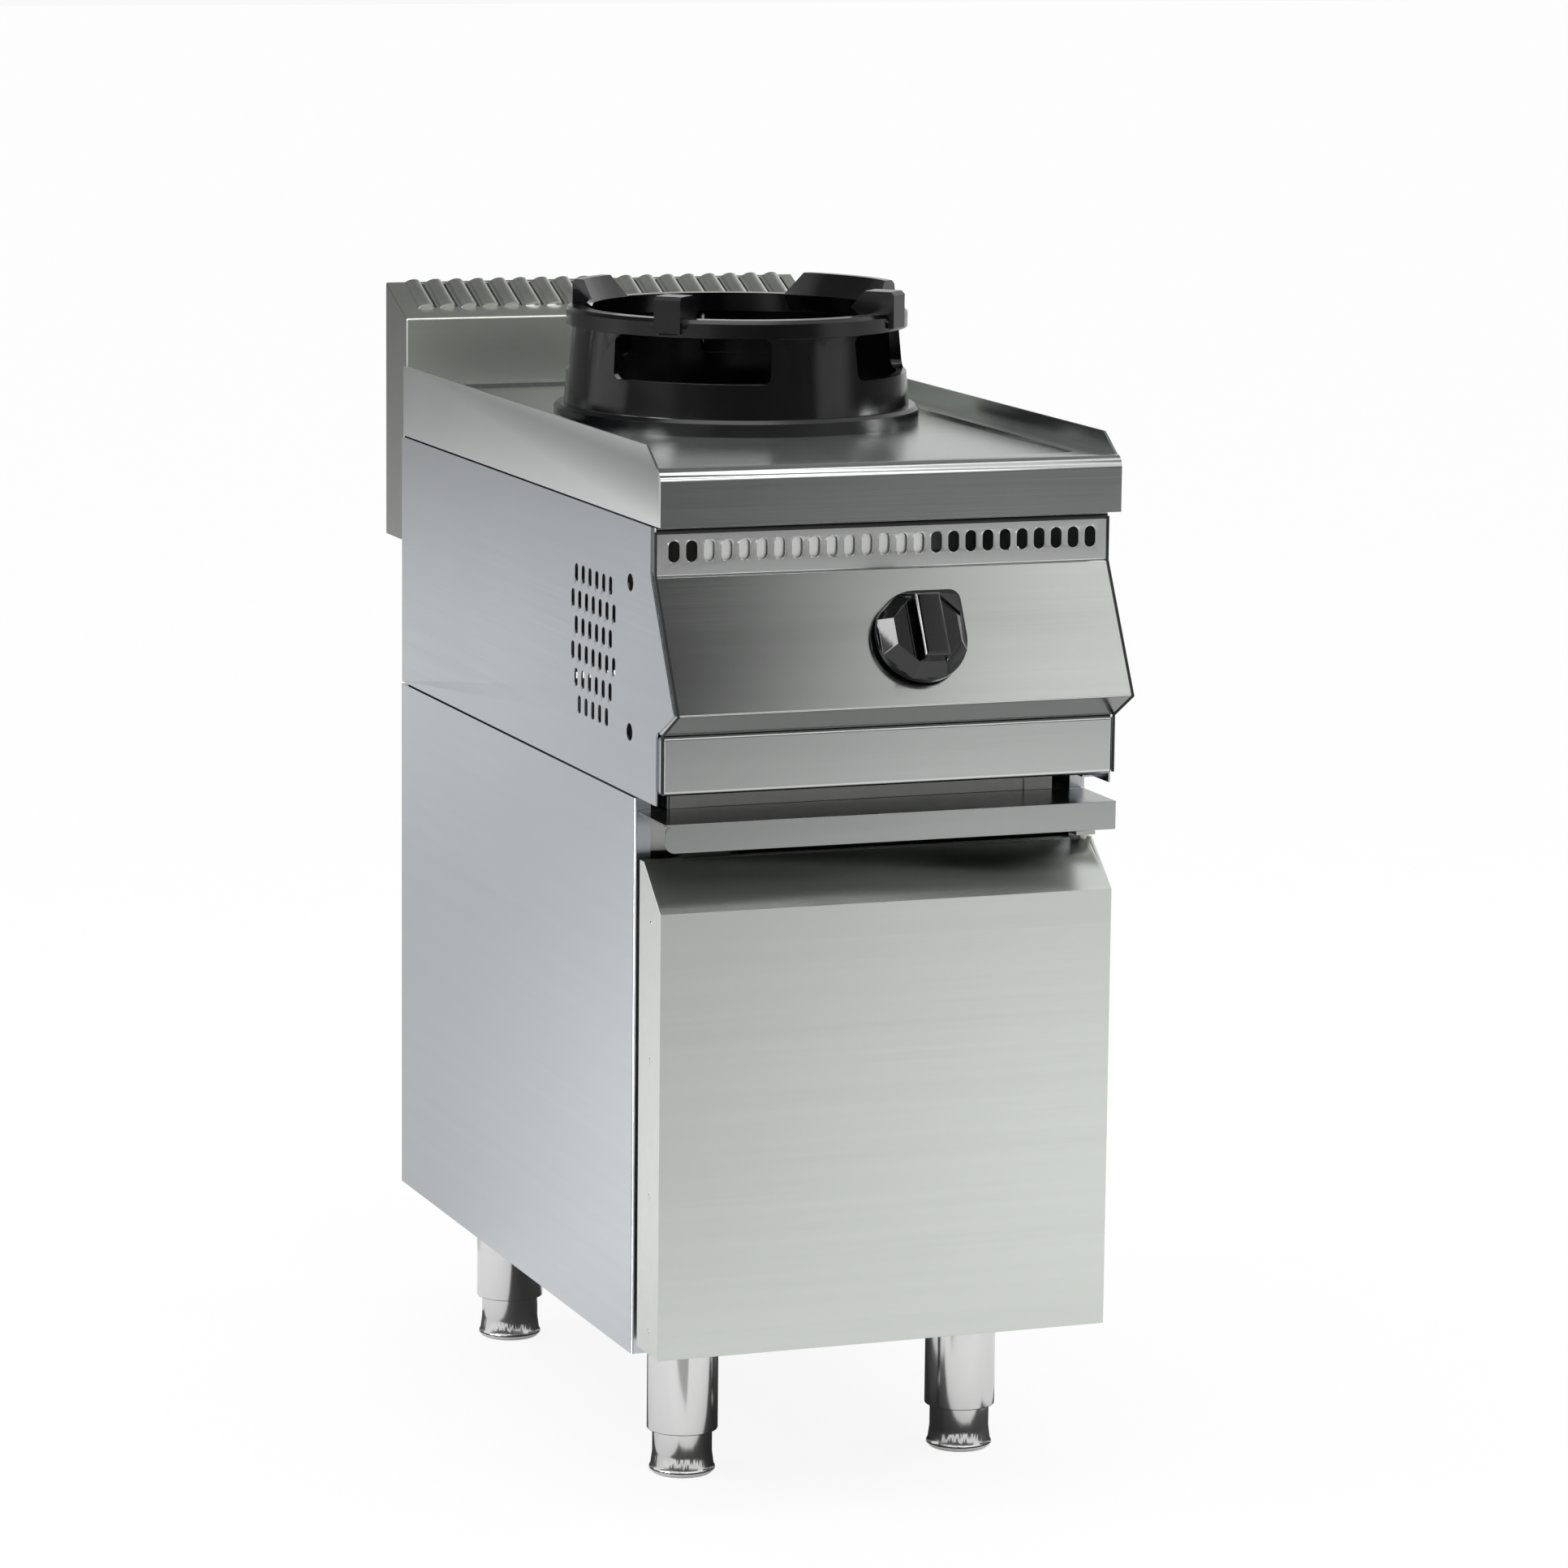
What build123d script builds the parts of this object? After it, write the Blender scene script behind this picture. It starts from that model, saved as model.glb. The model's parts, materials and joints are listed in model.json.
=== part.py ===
"""A free-standing gas wok range: one burner under a cast wok stand, on a hinged-door cabinet.

The origin is on the floor, at the centre of the box round the whole range. +X is the
right-hand side, -Y the front, where the cook stands, and +Z is up.
"""

import os
from math import atan2, cos, degrees, hypot, radians, sin, tan

from build123d import *

os.makedirs("parts", exist_ok=True)

# Overall sizes, in millimetres
unit_width = 400.0
body_inset = 1.0
body_depth = 710.0
flue_back_depth = 766.0
sheet = 1.5
clearance = 0.3
running_clearance = 0.08

# Heights above the floor
cabinet_bottom = 127.0
cabinet_height = 465.0
seam_height = 2.0
module_height = 224.0
apron_height = 47.0
side_edge_height = 63.0

# Cabinet
cabinet_setback = 61.5
side_front_fold = 14.0
side_rear_fold = 15.0
side_top_fold = 12.0
fold_radius = 2.5
floor_depth = 23.0
rail_height = 33.0
rail_depth = 25.0
runner_width = 45.0
runner_drop = 20.0

# Door
door_side_gap = 1.3
door_proud = 0.7
door_bottom_gap = 9.4
door_face_height = 370.0
door_grip_height = 36.9
door_grip_depth = 41.7
door_depth = 51.0
door_pivot_inset = 9.0
door_pivot_back = 44.0
pivot_pin_radius = 4.0
pivot_block_size = 12.0
pivot_block_height = 14.0
pin_engagement = 12.0
bracket_sheet = 3.0
bracket_width = 17.0
lower_bracket_height = 35.0
upper_bracket_height = 20.0
washer_height = 2.7
washer_radius = 7.5
catch_side_inset = 40.0
catch_width = 40.0
catch_height = 15.0
catch_depth = 20.0
strike_sheet = 1.0

# Upper module's front: slotted strip, sloped panel, lower fascia
strip_setback = 20.0
strip_height = 39.7
panel_lean = 57.9
panel_drop = 105.1
underside_run = 38.2
underside_drop = 21.2
fascia_height = 49.4
skin_return = 14.0
side_reveal = 6.0
fascia_reveal = 9.7
slot_count = 25
slot_side_margin = 17.8
slot_width = 9.6
slot_height = 17.5
slot_corner = 2.8

# Side ventilation and linking holes
vent_rows = [6, 7, 6, 7, 6, 5]
vent_pitch = 17.5
vent_row_pitch = 22.0
vent_width = 8.0
vent_height = 15.0
vent_back = 168.0
vent_below_top = 115.0
link_hole_radius = 7.25
link_hole_back = 75.0
link_hole_top_drop = 51.0
link_hole_spacing = 122.5

# Worktop
top_sheet = 2.0
nose_radius = 11.0
well_depth = 3.0
well_margin = 24.0
well_front = 26.0
well_corner = 20.0
side_edge_slope_depth = 28.0
side_edge_slope_height = 18.0
side_edge_setback = 7.0
worktop_back = 701.0
burner_opening_radius = 128.0
opening_collar = 8.0

# Flue
flue_face_depth = 64.0
flue_front_height = 58.0
flue_slope_height = 28.0
flue_hang = 97.0
flue_inset = 2.0
louvre_count = 18
louvre_side_margin = 23.3
louvre_width = 14.0
louvre_height = 4.0
louvre_share = 0.68
louvre_crest = 9.0
louvre_lip = 3.0
louvre_slot = 9.0
louvre_gap = 4.0
louvre_margin = 3.0
louvre_sheet = 1.2

# Drip tray
tray_gap = 21.3
tray_lip_height = 23.5
tray_lip_overhang = 8.0
tray_lip_inset = 2.3
tray_flange_depth = 58.0
tray_pan_front = 64.0
tray_lip_corner = 8.0
tray_pan_inset = 29.0
tray_pan_length = 586.0
tray_wall = 17.5
tray_tab_width = 24.0

# Knob and gas tap
knob_right = 18.0
knob_skirt_radius = 39.0
knob_skirt_corner = 9.0
knob_skirt_height = 5.5
knob_facet_radius = 36.5
knob_top_radius = 27.5
knob_top_height = 19.0
knob_grip_width = 22.0
knob_grip_length = 54.0
knob_grip_height = 14.0
grip_round = 3.0
knob_gap = 5.0
knob_drop = 63.1
push_travel = 4.0
spindle_radius = 4.0
panel_hole_radius = 8.0
spindle_engagement = 14.0
spindle_tail = 8.0
gland_length = 6.0
tap_radius = 17.0
tap_length = 52.0
tap_branch_radius = 10.0
tap_branch_length = 30.0
branch_share = 0.8
collar_radius = 9.0
collar_length = 6.0
collar_gap = 2.0
spring_length = 10.0

# Legs
leg_side_inset = 73.0
front_leg_back = 139.0
rear_leg_back = 611.0
sleeve_radius = 30.0
sleeve_wall = 2.0
sleeve_end_height = 38.0
foot_radius = 25.3
foot_rim_radius = 28.5
foot_rim_height = 7.0
foot_flare_height = 18.0
foot_cup_height = 84.0
foot_stem_radius = 6.0
foot_stem_top = 140.0
leg_bush_height = 14.0
leg_nut_height = 46.0
leg_nut_radius = 14.0
leg_plate_side = 84.0
leg_plate_sheet = 4.0

# Burner
burner_back = 373.5
burner_foot_drop = 92.0
burner_foot_radius = 50.0
burner_foot_sheet = 6.0
burner_neck_radius = 24.0
burner_body_radius = 52.0
burner_body_height = 82.0
burner_wall = 6.0
bowl_rim_height = 17.0
bowl_flare_height = 20.0
burner_cap_radius = 56.0
burner_cap_height = 20.0
cap_bevel = 4.0
cap_spigot_wall = 5.0
cap_spigot_height = 5.0
burner_port_count = 16
burner_port_width = 3.0
burner_port_height = 8.0
mixing_tube_radius = 17.0
mixing_tube_bore = 13.0
mixing_tube_length = 174.0
mixing_tube_rise = 30.0
support_spacing = 100.0
support_width = 25.0
support_height = 20.0
injector_gap = 8.0
injector_length = 30.0
injector_radius = 8.0
injector_bracket_width = 30.0
bracket_overlap = 11.0
pilot_right = 38.0
pilot_spacing = 12.0
pilot_radius = 4.0

# Wok stand
stand_foot_radius = 157.5
stand_foot_height = 14.0
stand_wall_bottom_radius = 149.0
stand_wall_top_radius = 143.0
stand_wall = 8.0
stand_rim_radius = 147.0
stand_rim_height = 16.0
stand_height = 97.0
stand_rim_inner_radius = 131.0
window_count = 4
window_angle = 58.0
window_turn = 53.0
window_sill = 43.0
window_corner = 7.0
lug_rise = 19.0
rear_lug_turns = (22.0, 136.0)
rear_lug_widths = (120.0, 71.0)
rear_lug_depth = 22.0
lug_end_slope = 8.0
lug_edge = 3.0
front_lug_turns = (-44.0, -133.0)
front_lug_width = 24.0
front_lug_inner_radius = 111.0
front_lug_top_radius = 124.0
front_lug_outer_radius = 151.0
front_lug_hang = 12.0

# Gas supply
inlet_side_inset = 59.0
inlet_nut_radius = 18.0
inlet_nut_height = 6.0
inlet_neck_radius = 13.0
inlet_neck_reach = 7.0
inlet_inner_reach = 18.0
inlet_radius = 10.48
inlet_bore_radius = 8.0
inlet_reach = 34.0
pipe_radius = 7.5
supply_bend_radius = 25.0
feed_pipe_radius = 5.0
feed_bend_radius = 12.0
feed_straight = 25.0

# Places worked out from the sizes above
cabinet_top = cabinet_bottom + cabinet_height
module_bottom = cabinet_top + seam_height
module_top = module_bottom + module_height
apron_bottom = module_top + seam_height
apron_top = apron_bottom + apron_height
worktop_top = apron_top
side_edge_top = apron_bottom + side_edge_height
well_top = worktop_top - well_depth
body_width = unit_width - 2 * body_inset
body_half = body_width / 2
inner_half = body_half - sheet
panel_tip_back = strip_setback - panel_lean
strip_bottom = module_top - strip_height
panel_tip_height = strip_bottom - panel_drop
fascia_back = panel_tip_back + underside_run
fascia_top = panel_tip_height - underside_drop
fascia_bottom = fascia_top - fascia_height
tray_top = fascia_bottom - tray_gap
tray_under = tray_top - sheet
door_width = body_width - 2 * door_side_gap
flue_width = body_width - 2 * flue_inset
tray_lip_width = body_width - 2 * tray_lip_inset
tray_pan_width = body_width - 2 * tray_pan_inset
slot_pitch = (body_width - 2 * slot_side_margin) / (slot_count - 1)
louvre_pitch = (flue_width - 2 * louvre_side_margin) / (louvre_count - 1)
inlet_right = body_half - inlet_side_inset

# The panel's slope, and how far the knob stands out in front of the apron
panel_angle = atan2(panel_lean, panel_drop)
knob_axis_y, knob_axis_z = -cos(panel_angle), sin(panel_angle)
knob_drop_share = knob_drop * cos(panel_angle) / panel_drop
knob_base_back = strip_setback - panel_lean * knob_drop_share
knob_base_height = strip_bottom - panel_drop * knob_drop_share
knob_height = knob_top_height + knob_grip_height
knob_reach = (
    (knob_gap + knob_height - grip_round) * cos(panel_angle)
    + (knob_grip_length / 2 - grip_round) * sin(panel_angle)
    + grip_round
    - knob_base_back
)

# Y of the apron's face, which every depth is measured back from
apron_y = -(flue_back_depth + knob_reach) / 2 + knob_reach


def back(depth):
    """Y of a point this far behind the apron's face."""
    return apron_y + depth


def block(x_range, y_range, z_range, mode=Mode.ADD):
    """A rectangular block between two limits along each axis."""
    ranges = (x_range, y_range, z_range)
    with Locations(tuple(sum(pair) / 2 for pair in ranges)):
        Box(*(abs(high - low) for low, high in ranges), mode=mode)


def rod(start, direction, length, radius, mode=Mode.ADD):
    """A round rod from a start point along a direction."""
    middle = Plane(origin=start, z_dir=direction).offset(length / 2)
    with Locations(middle):
        Cylinder(radius, length, mode=mode)


# Cabinet side: one sheet with folds along its front, rear and top
cabinet_front = back(cabinet_setback)
body_back = back(body_depth)
with BuildPart() as cabinet_left_side:
    height = (cabinet_bottom, cabinet_top)
    depth = (cabinet_front, body_back)
    block((-body_half, -inner_half), depth, height)
    block((-body_half, -body_half + side_front_fold), (cabinet_front, cabinet_front + sheet), height)
    block((-body_half, -body_half + side_rear_fold), (body_back - sheet, body_back), height)
    block((-body_half, -body_half + side_top_fold), depth, (cabinet_top - sheet, cabinet_top))
    front_corner = cabinet_left_side.edges().filter_by(Axis.Z).sort_by(lambda e: e.center().X + e.center().Y)[0]
    fillet(front_corner, fold_radius)
cabinet_right_side = mirror(cabinet_left_side.part, about=Plane.YZ)

# Cabinet back, between the sides' rear folds
fit_half = inner_half - clearance / 2
with BuildPart() as cabinet_back:
    block(
        (-fit_half, fit_half),
        (body_back - 2 * sheet, body_back - sheet),
        (cabinet_bottom + sheet, cabinet_top - 2 * sheet),
    )

# Cabinet floor: a shallow tray turned upside down, which the legs bolt to
floor_front = cabinet_front + sheet
floor_back = body_back - 2 * sheet
floor_top = cabinet_bottom + floor_depth
with BuildPart() as cabinet_floor:
    block((-fit_half, fit_half), (floor_front, floor_back), (cabinet_bottom, floor_top))
    offset(amount=-sheet, openings=cabinet_floor.faces().sort_by(Axis.Z)[0])

# Front and rear rails: channels across the cabinet under its top edge
rail_top = tray_under - running_clearance
rail_bottom = rail_top - rail_height
with BuildPart() as front_rail:
    block((-fit_half, fit_half), (floor_front, floor_front + rail_depth), (rail_bottom, rail_top))
    offset(amount=-sheet, openings=front_rail.faces().sort_by(Axis.Y)[-1])
with BuildPart() as rear_rail:
    block((-fit_half, fit_half), (floor_back - rail_depth, floor_back), (rail_bottom, rail_top))
    offset(amount=-sheet, openings=rear_rail.faces().sort_by(Axis.Y)[0])

# Tray runner: an angle along each side, level with the rails' tops
with BuildPart() as tray_left_runner:
    runner_length = (floor_front + rail_depth, floor_back - rail_depth)
    block((-fit_half, -fit_half + runner_width), runner_length, (rail_top - sheet, rail_top))
    block((-fit_half, -fit_half + sheet), runner_length, (rail_top - runner_drop, rail_top))
tray_right_runner = mirror(tray_left_runner.part, about=Plane.YZ)

# Sealing strips in the two seams, set back so that each seam shows as a dark line
seal_inset = 5.0
seal_width = side_top_fold - seal_inset
with BuildPart() as seam_seals:
    for seam_bottom in (cabinet_top, module_top):
        for side in (-1, 1):
            block(
                (side * (body_half - seal_inset), side * (body_half - seal_inset - seal_width)),
                (cabinet_front + seal_inset, body_back - seal_inset),
                (seam_bottom, seam_bottom + seam_height),
            )

# Leg plates, sleeves and their guide bushes
floor_under = floor_top - sheet
leg_xs = (-body_half + leg_side_inset, body_half - leg_side_inset)
leg_ys = (back(front_leg_back), back(rear_leg_back))
leg_places = [(x, y) for y in leg_ys for x in leg_xs]
plate_bottom = floor_under - leg_plate_sheet
with BuildPart() as leg_plates:
    for x, y in leg_places:
        block(
            (x - leg_plate_side / 2, x + leg_plate_side / 2),
            (y - leg_plate_side / 2, y + leg_plate_side / 2),
            (plate_bottom, floor_under),
        )
        with Locations((x, y, floor_under)):
            Hole(foot_stem_radius + 1)
with BuildPart() as leg_sleeves:
    for x, y in leg_places:
        with BuildSketch(Plane.XY.offset(sleeve_end_height)):
            with Locations((x, y)):
                Circle(sleeve_radius)
                Circle(sleeve_radius - sleeve_wall, mode=Mode.SUBTRACT)
        extrude(amount=plate_bottom - sleeve_end_height)
with BuildPart() as leg_nuts:
    for x, y in leg_places:
        with BuildSketch(Plane.XY.offset(plate_bottom - leg_nut_height)):
            with Locations((x, y)):
                RegularPolygon(leg_nut_radius, 6)
                Circle(foot_stem_radius + running_clearance, mode=Mode.SUBTRACT)
        extrude(amount=leg_nut_height)
with BuildPart() as leg_bushes:
    for x, y in leg_places:
        with BuildSketch(Plane.XY.offset(sleeve_end_height)):
            with Locations((x, y)):
                Circle(sleeve_radius - sleeve_wall - running_clearance)
                Circle(foot_radius + running_clearance, mode=Mode.SUBTRACT)
        extrude(amount=leg_bush_height)

# Adjustable foot: a flared cup with a rounded rim, and the screw stem that carries it
with BuildPart() as foot_blank:
    with BuildSketch(Plane.XZ):
        with BuildLine():
            Polyline(
                (0, 0),
                (foot_rim_radius - foot_rim_height / 2, 0),
                (foot_rim_radius, foot_rim_height / 2),
                (foot_rim_radius - foot_rim_height / 4, foot_rim_height),
                (foot_radius, foot_flare_height),
                (foot_radius, foot_cup_height),
                (foot_stem_radius, foot_cup_height),
                (foot_stem_radius, foot_stem_top),
                (0, foot_stem_top),
                close=True,
            )
        make_face()
    revolve(axis=Axis.Z)
feet = [foot_blank.part.moved(Location((x, y, 0))) for x, y in leg_places]

# Door's outer shell: flat face, grip sloped back along the top, open at the rear
door_half = door_width / 2
door_bottom = cabinet_bottom + door_bottom_gap
door_crease = door_bottom + door_face_height
door_top = door_crease + door_grip_height
door_pivot = (body_half - door_pivot_inset, back(door_pivot_back))
with BuildPart() as door_shell:
    with BuildSketch(Plane.YZ.offset(-door_half)):
        with BuildLine():
            Polyline(
                (back(-door_proud), door_bottom),
                (back(-door_proud), door_crease),
                (back(door_grip_depth), door_top),
                (back(door_depth), door_top),
                (back(door_depth), door_bottom),
                close=True,
            )
        make_face()
    extrude(amount=door_width)
    offset(amount=-sheet, openings=door_shell.faces().sort_by(Axis.Y)[-1])
    with Locations((*door_pivot, door_top), (*door_pivot, door_bottom)):
        Cylinder(pivot_pin_radius + clearance, 8 * sheet, mode=Mode.SUBTRACT)

# Door's liner: closes the shell's rear with a fold forwards on every edge
liner_half = door_half - sheet - clearance
liner_fold = 6.0
liner_face = back(door_depth) - sheet
with BuildPart() as door_liner:
    block(
        (-liner_half, liner_half),
        (liner_face - liner_fold, liner_face + sheet),
        (door_bottom + sheet + clearance, door_top - sheet - clearance),
    )
    offset(amount=-sheet, openings=door_liner.faces().sort_by(Axis.Y)[0])
    for notch_z in (door_bottom, door_top):
        block(
            (door_pivot[0] - pivot_block_size - clearance, liner_half),
            (liner_face - liner_fold, liner_face),
            (notch_z - pivot_block_height - sheet * 2, notch_z + pivot_block_height + sheet * 2),
            mode=Mode.SUBTRACT,
        )

# Pivot blocks inside the door's two right-hand corners, the upper one cut to the grip's slope
block_front = door_pivot[1] - pivot_block_size / 2 - 2
block_rear = liner_face - clearance
block_right = liner_half - clearance
block_left = door_pivot[0] - pivot_block_size
upper_block_top = door_top - sheet - clearance
lower_block_bottom = door_bottom + sheet + clearance
grip_slope = door_grip_height / (door_grip_depth + door_proud)
slope_start = back(door_grip_depth) + sheet
with BuildPart() as door_pivot_blocks:
    with BuildSketch(Plane.YZ.offset(block_left)):
        with BuildLine():
            Polyline(
                (block_front, upper_block_top - pivot_block_height),
                (block_front, upper_block_top - (slope_start - block_front) * grip_slope),
                (slope_start, upper_block_top),
                (block_rear, upper_block_top),
                (block_rear, upper_block_top - pivot_block_height),
                close=True,
            )
        make_face()
        with Locations(((block_front + block_rear) / 2, lower_block_bottom + pivot_block_height / 2)):
            Rectangle(block_rear - block_front, pivot_block_height)
    extrude(amount=block_right - block_left)
    rod(
        (*door_pivot, door_bottom),
        (0, 0, 1),
        door_top - door_bottom,
        pivot_pin_radius + running_clearance,
        mode=Mode.SUBTRACT,
    )

# Hinge brackets: a plate under and over the door, each with its pin
bracket_x = (door_pivot[0] + washer_radius - bracket_width, door_pivot[0] + washer_radius)
bracket_y = (door_pivot[1] - door_pivot_inset, cabinet_front)
bracket_upright = (cabinet_front - bracket_sheet, cabinet_front)
pin_length = washer_height + sheet + pin_engagement
with BuildPart() as lower_hinge_bracket:
    lower_plate_top = door_bottom - washer_height - clearance
    lower_plate_bottom = lower_plate_top - bracket_sheet
    block(bracket_x, bracket_y, (lower_plate_bottom, lower_plate_top))
    block(bracket_x, bracket_upright, (lower_plate_bottom, lower_plate_bottom + lower_bracket_height))
    rod((*door_pivot, lower_plate_top), (0, 0, 1), pin_length, pivot_pin_radius)
with BuildPart() as hinge_washer:
    with BuildSketch(Plane.XY.offset(lower_plate_top)):
        with Locations(door_pivot):
            Circle(washer_radius)
            Circle(pivot_pin_radius + running_clearance, mode=Mode.SUBTRACT)
    extrude(amount=washer_height)
with BuildPart() as upper_hinge_bracket:
    upper_plate_bottom = door_top + washer_height
    block(bracket_x, bracket_y, (upper_plate_bottom, upper_plate_bottom + bracket_sheet))
    block(bracket_x, bracket_upright, (upper_plate_bottom, upper_plate_bottom + upper_bracket_height))
    rod((*door_pivot, upper_plate_bottom), (0, 0, -1), pin_length, pivot_pin_radius)

# Magnetic catch under the front rail, and the strike plate on the liner
catch_left = -body_half + catch_side_inset
catch_x = (catch_left, catch_left + catch_width)
with BuildPart() as magnet_catch:
    block(
        catch_x,
        (back(door_depth) + strike_sheet + clearance, floor_front + catch_depth),
        (rail_bottom - catch_height, rail_bottom),
    )
with BuildPart() as catch_strike:
    block(
        catch_x,
        (back(door_depth), back(door_depth) + strike_sheet),
        (rail_bottom - catch_height + 1, door_top - 2),
    )

# Upper module's side: profile cut to the front skins, staggered vents and two linking holes
side_low_front = fascia_back + fascia_reveal
side_tip = panel_tip_back + side_reveal
side_top_front = strip_setback + side_reveal
with BuildPart() as module_left_side:
    with BuildSketch(Plane.YZ.offset(-body_half)):
        with BuildLine():
            Polyline(
                (back(side_low_front), module_bottom),
                (back(side_low_front), fascia_top),
                (back(side_tip), panel_tip_height),
                (back(side_top_front), strip_bottom),
                (back(side_top_front), module_top),
                (body_back, module_top),
                (body_back, module_bottom),
                close=True,
            )
        make_face()
        vent_top = module_top - vent_below_top + vent_row_pitch * (len(vent_rows) - 1) / 2
        for row, count in enumerate(vent_rows):
            with Locations((back(vent_back), vent_top - row * vent_row_pitch)):
                with GridLocations(vent_pitch, 1, count, 1):
                    Rectangle(vent_width, vent_height, mode=Mode.SUBTRACT)
        link_top = module_top - link_hole_top_drop
        with Locations(
            (back(link_hole_back), link_top),
            (back(link_hole_back), link_top - link_hole_spacing),
        ):
            Circle(link_hole_radius, mode=Mode.SUBTRACT)
    extrude(amount=sheet)
    fold_start = back(strip_setback + skin_return + side_reveal)
    block((-body_half, -body_half + side_top_fold), (fold_start, body_back), (module_bottom, module_bottom + sheet))
    block((-body_half, -body_half + side_top_fold), (fold_start, body_back), (module_top - sheet, module_top))
    block((-body_half, -body_half + side_rear_fold), (body_back - sheet, body_back), (module_bottom, module_top))
module_right_side = mirror(module_left_side.part, about=Plane.YZ)

# Slotted strip under the worktop
with BuildSketch() as strip_slot:
    slot = Rectangle(slot_width, slot_height)
    chamfer(slot.vertices(), slot_corner)
skin_back = back(strip_setback + skin_return)
with BuildPart() as vent_strip:
    block((-fit_half, fit_half), (back(strip_setback), skin_back), (strip_bottom, module_top))
    offset(amount=-sheet, openings=vent_strip.faces().sort_by(Axis.Y)[-1])
    strip_middle = (0, back(strip_setback), strip_bottom + strip_height / 2)
    with BuildSketch(Plane(origin=strip_middle, x_dir=(1, 0, 0), z_dir=(0, -1, 0))):
        with GridLocations(slot_pitch, 1, slot_count, 1):
            add(strip_slot.sketch)
    extrude(amount=-2 * sheet, mode=Mode.SUBTRACT)

# Sloped control panel with its folded underside
knob_base = (knob_right, back(knob_base_back), knob_base_height)
knob_normal = (0, knob_axis_y, knob_axis_z)
with BuildPart() as control_panel:
    with BuildSketch(Plane.YZ.offset(-fit_half)):
        with BuildLine():
            Polyline(
                (back(strip_setback), strip_bottom),
                (skin_back, strip_bottom),
                (skin_back, fascia_top),
                (back(fascia_back), fascia_top),
                (back(panel_tip_back), panel_tip_height),
                close=True,
            )
        make_face()
    extrude(amount=2 * fit_half)
    offset(amount=-sheet, openings=control_panel.faces().sort_by(Axis.Y)[-1])
    rod(knob_base, tuple(-v for v in knob_normal), 3 * sheet, panel_hole_radius, mode=Mode.SUBTRACT)

# Lower fascia
with BuildPart() as lower_fascia:
    block((-fit_half, fit_half), (back(fascia_back), skin_back), (fascia_bottom, fascia_top))
    offset(amount=-sheet, openings=lower_fascia.faces().sort_by(Axis.Y)[-1])

# Worktop: pressed top between raised side edges, rounded nose and apron
unit_half = unit_width / 2
with BuildPart() as worktop:
    with BuildSketch(Plane.YZ.offset(-unit_half)):
        with BuildLine():
            Polyline(
                (back(worktop_back), apron_bottom),
                (back(worktop_back), worktop_top),
                (back(nose_radius), worktop_top),
            )
            RadiusArc((back(nose_radius), worktop_top), (back(0), worktop_top - nose_radius), -nose_radius)
            Polyline(
                (back(0), worktop_top - nose_radius),
                (back(0), apron_bottom),
                (back(worktop_back), apron_bottom),
            )
        make_face()
    extrude(amount=unit_width)
    offset(amount=-top_sheet, openings=worktop.faces().sort_by(Axis.Z)[0])
    for side in (-1, 1):
        wall = Plane.YZ.offset(side * unit_half - (top_sheet if side > 0 else 0))
        with BuildSketch(wall):
            with BuildLine():
                Polyline(
                    (back(worktop_back), worktop_top - top_sheet),
                    (back(worktop_back), side_edge_top),
                    (back(side_edge_slope_depth + side_edge_setback), side_edge_top),
                    (back(side_edge_setback), side_edge_top - side_edge_slope_height),
                    (back(side_edge_setback), worktop_top - nose_radius / 2),
                    close=True,
                )
            make_face()
        extrude(amount=top_sheet)
    well_plane = Plane.XY.offset(worktop_top)
    well_half = unit_half - top_sheet - well_margin
    well_length = worktop_back - well_front - well_margin
    with BuildSketch(well_plane):
        with Locations((0, back(well_front + well_length / 2))):
            RectangleRounded(2 * well_half, well_length, well_corner)
    extrude(amount=-top_sheet, mode=Mode.SUBTRACT)
    with BuildSketch(well_plane.offset(-well_depth)):
        with Locations((0, back(well_front + well_length / 2))):
            RectangleRounded(2 * (well_half + top_sheet), well_length + 2 * top_sheet, well_corner + top_sheet)
    extrude(amount=-top_sheet)
    with BuildSketch(well_plane.offset(-top_sheet)):
        with Locations((0, back(well_front + well_length / 2))):
            RectangleRounded(2 * (well_half + top_sheet), well_length + 2 * top_sheet, well_corner + top_sheet)
            RectangleRounded(2 * well_half, well_length, well_corner, mode=Mode.SUBTRACT)
    extrude(amount=-(well_depth - top_sheet))
    with BuildSketch(Plane.XY.offset(well_top - top_sheet)):
        with Locations((0, back(burner_back))):
            Circle(burner_opening_radius)
    extrude(amount=opening_collar + top_sheet)
    with Locations((0, back(burner_back), well_top)):
        Hole(burner_opening_radius - top_sheet, depth=None)

# Flue: a hollow folded box behind the worktop, with louvres along its sloped top
flue_front = back(worktop_back + clearance)
flue_rear = back(flue_back_depth)
flue_inner = back(body_depth + clearance)
flue_front_top = worktop_top + flue_front_height
flue_top = flue_front_top + flue_slope_height
flue_bottom = apron_bottom - flue_hang
slope_length = hypot(flue_rear - flue_front, flue_slope_height)
slope_y, slope_z = (flue_rear - flue_front) / slope_length, flue_slope_height / slope_length
louvre_plane = Plane(
    origin=(0, flue_rear - louvre_margin * slope_y, flue_top - louvre_margin * slope_z),
    x_dir=(1, 0, 0),
    z_dir=(0, -slope_y, -slope_z),
)
louvre_length = louvre_share * slope_length
louvre_xs = [(number - (louvre_count - 1) / 2) * louvre_pitch - louvre_width / 2 for number in range(louvre_count)]
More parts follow.
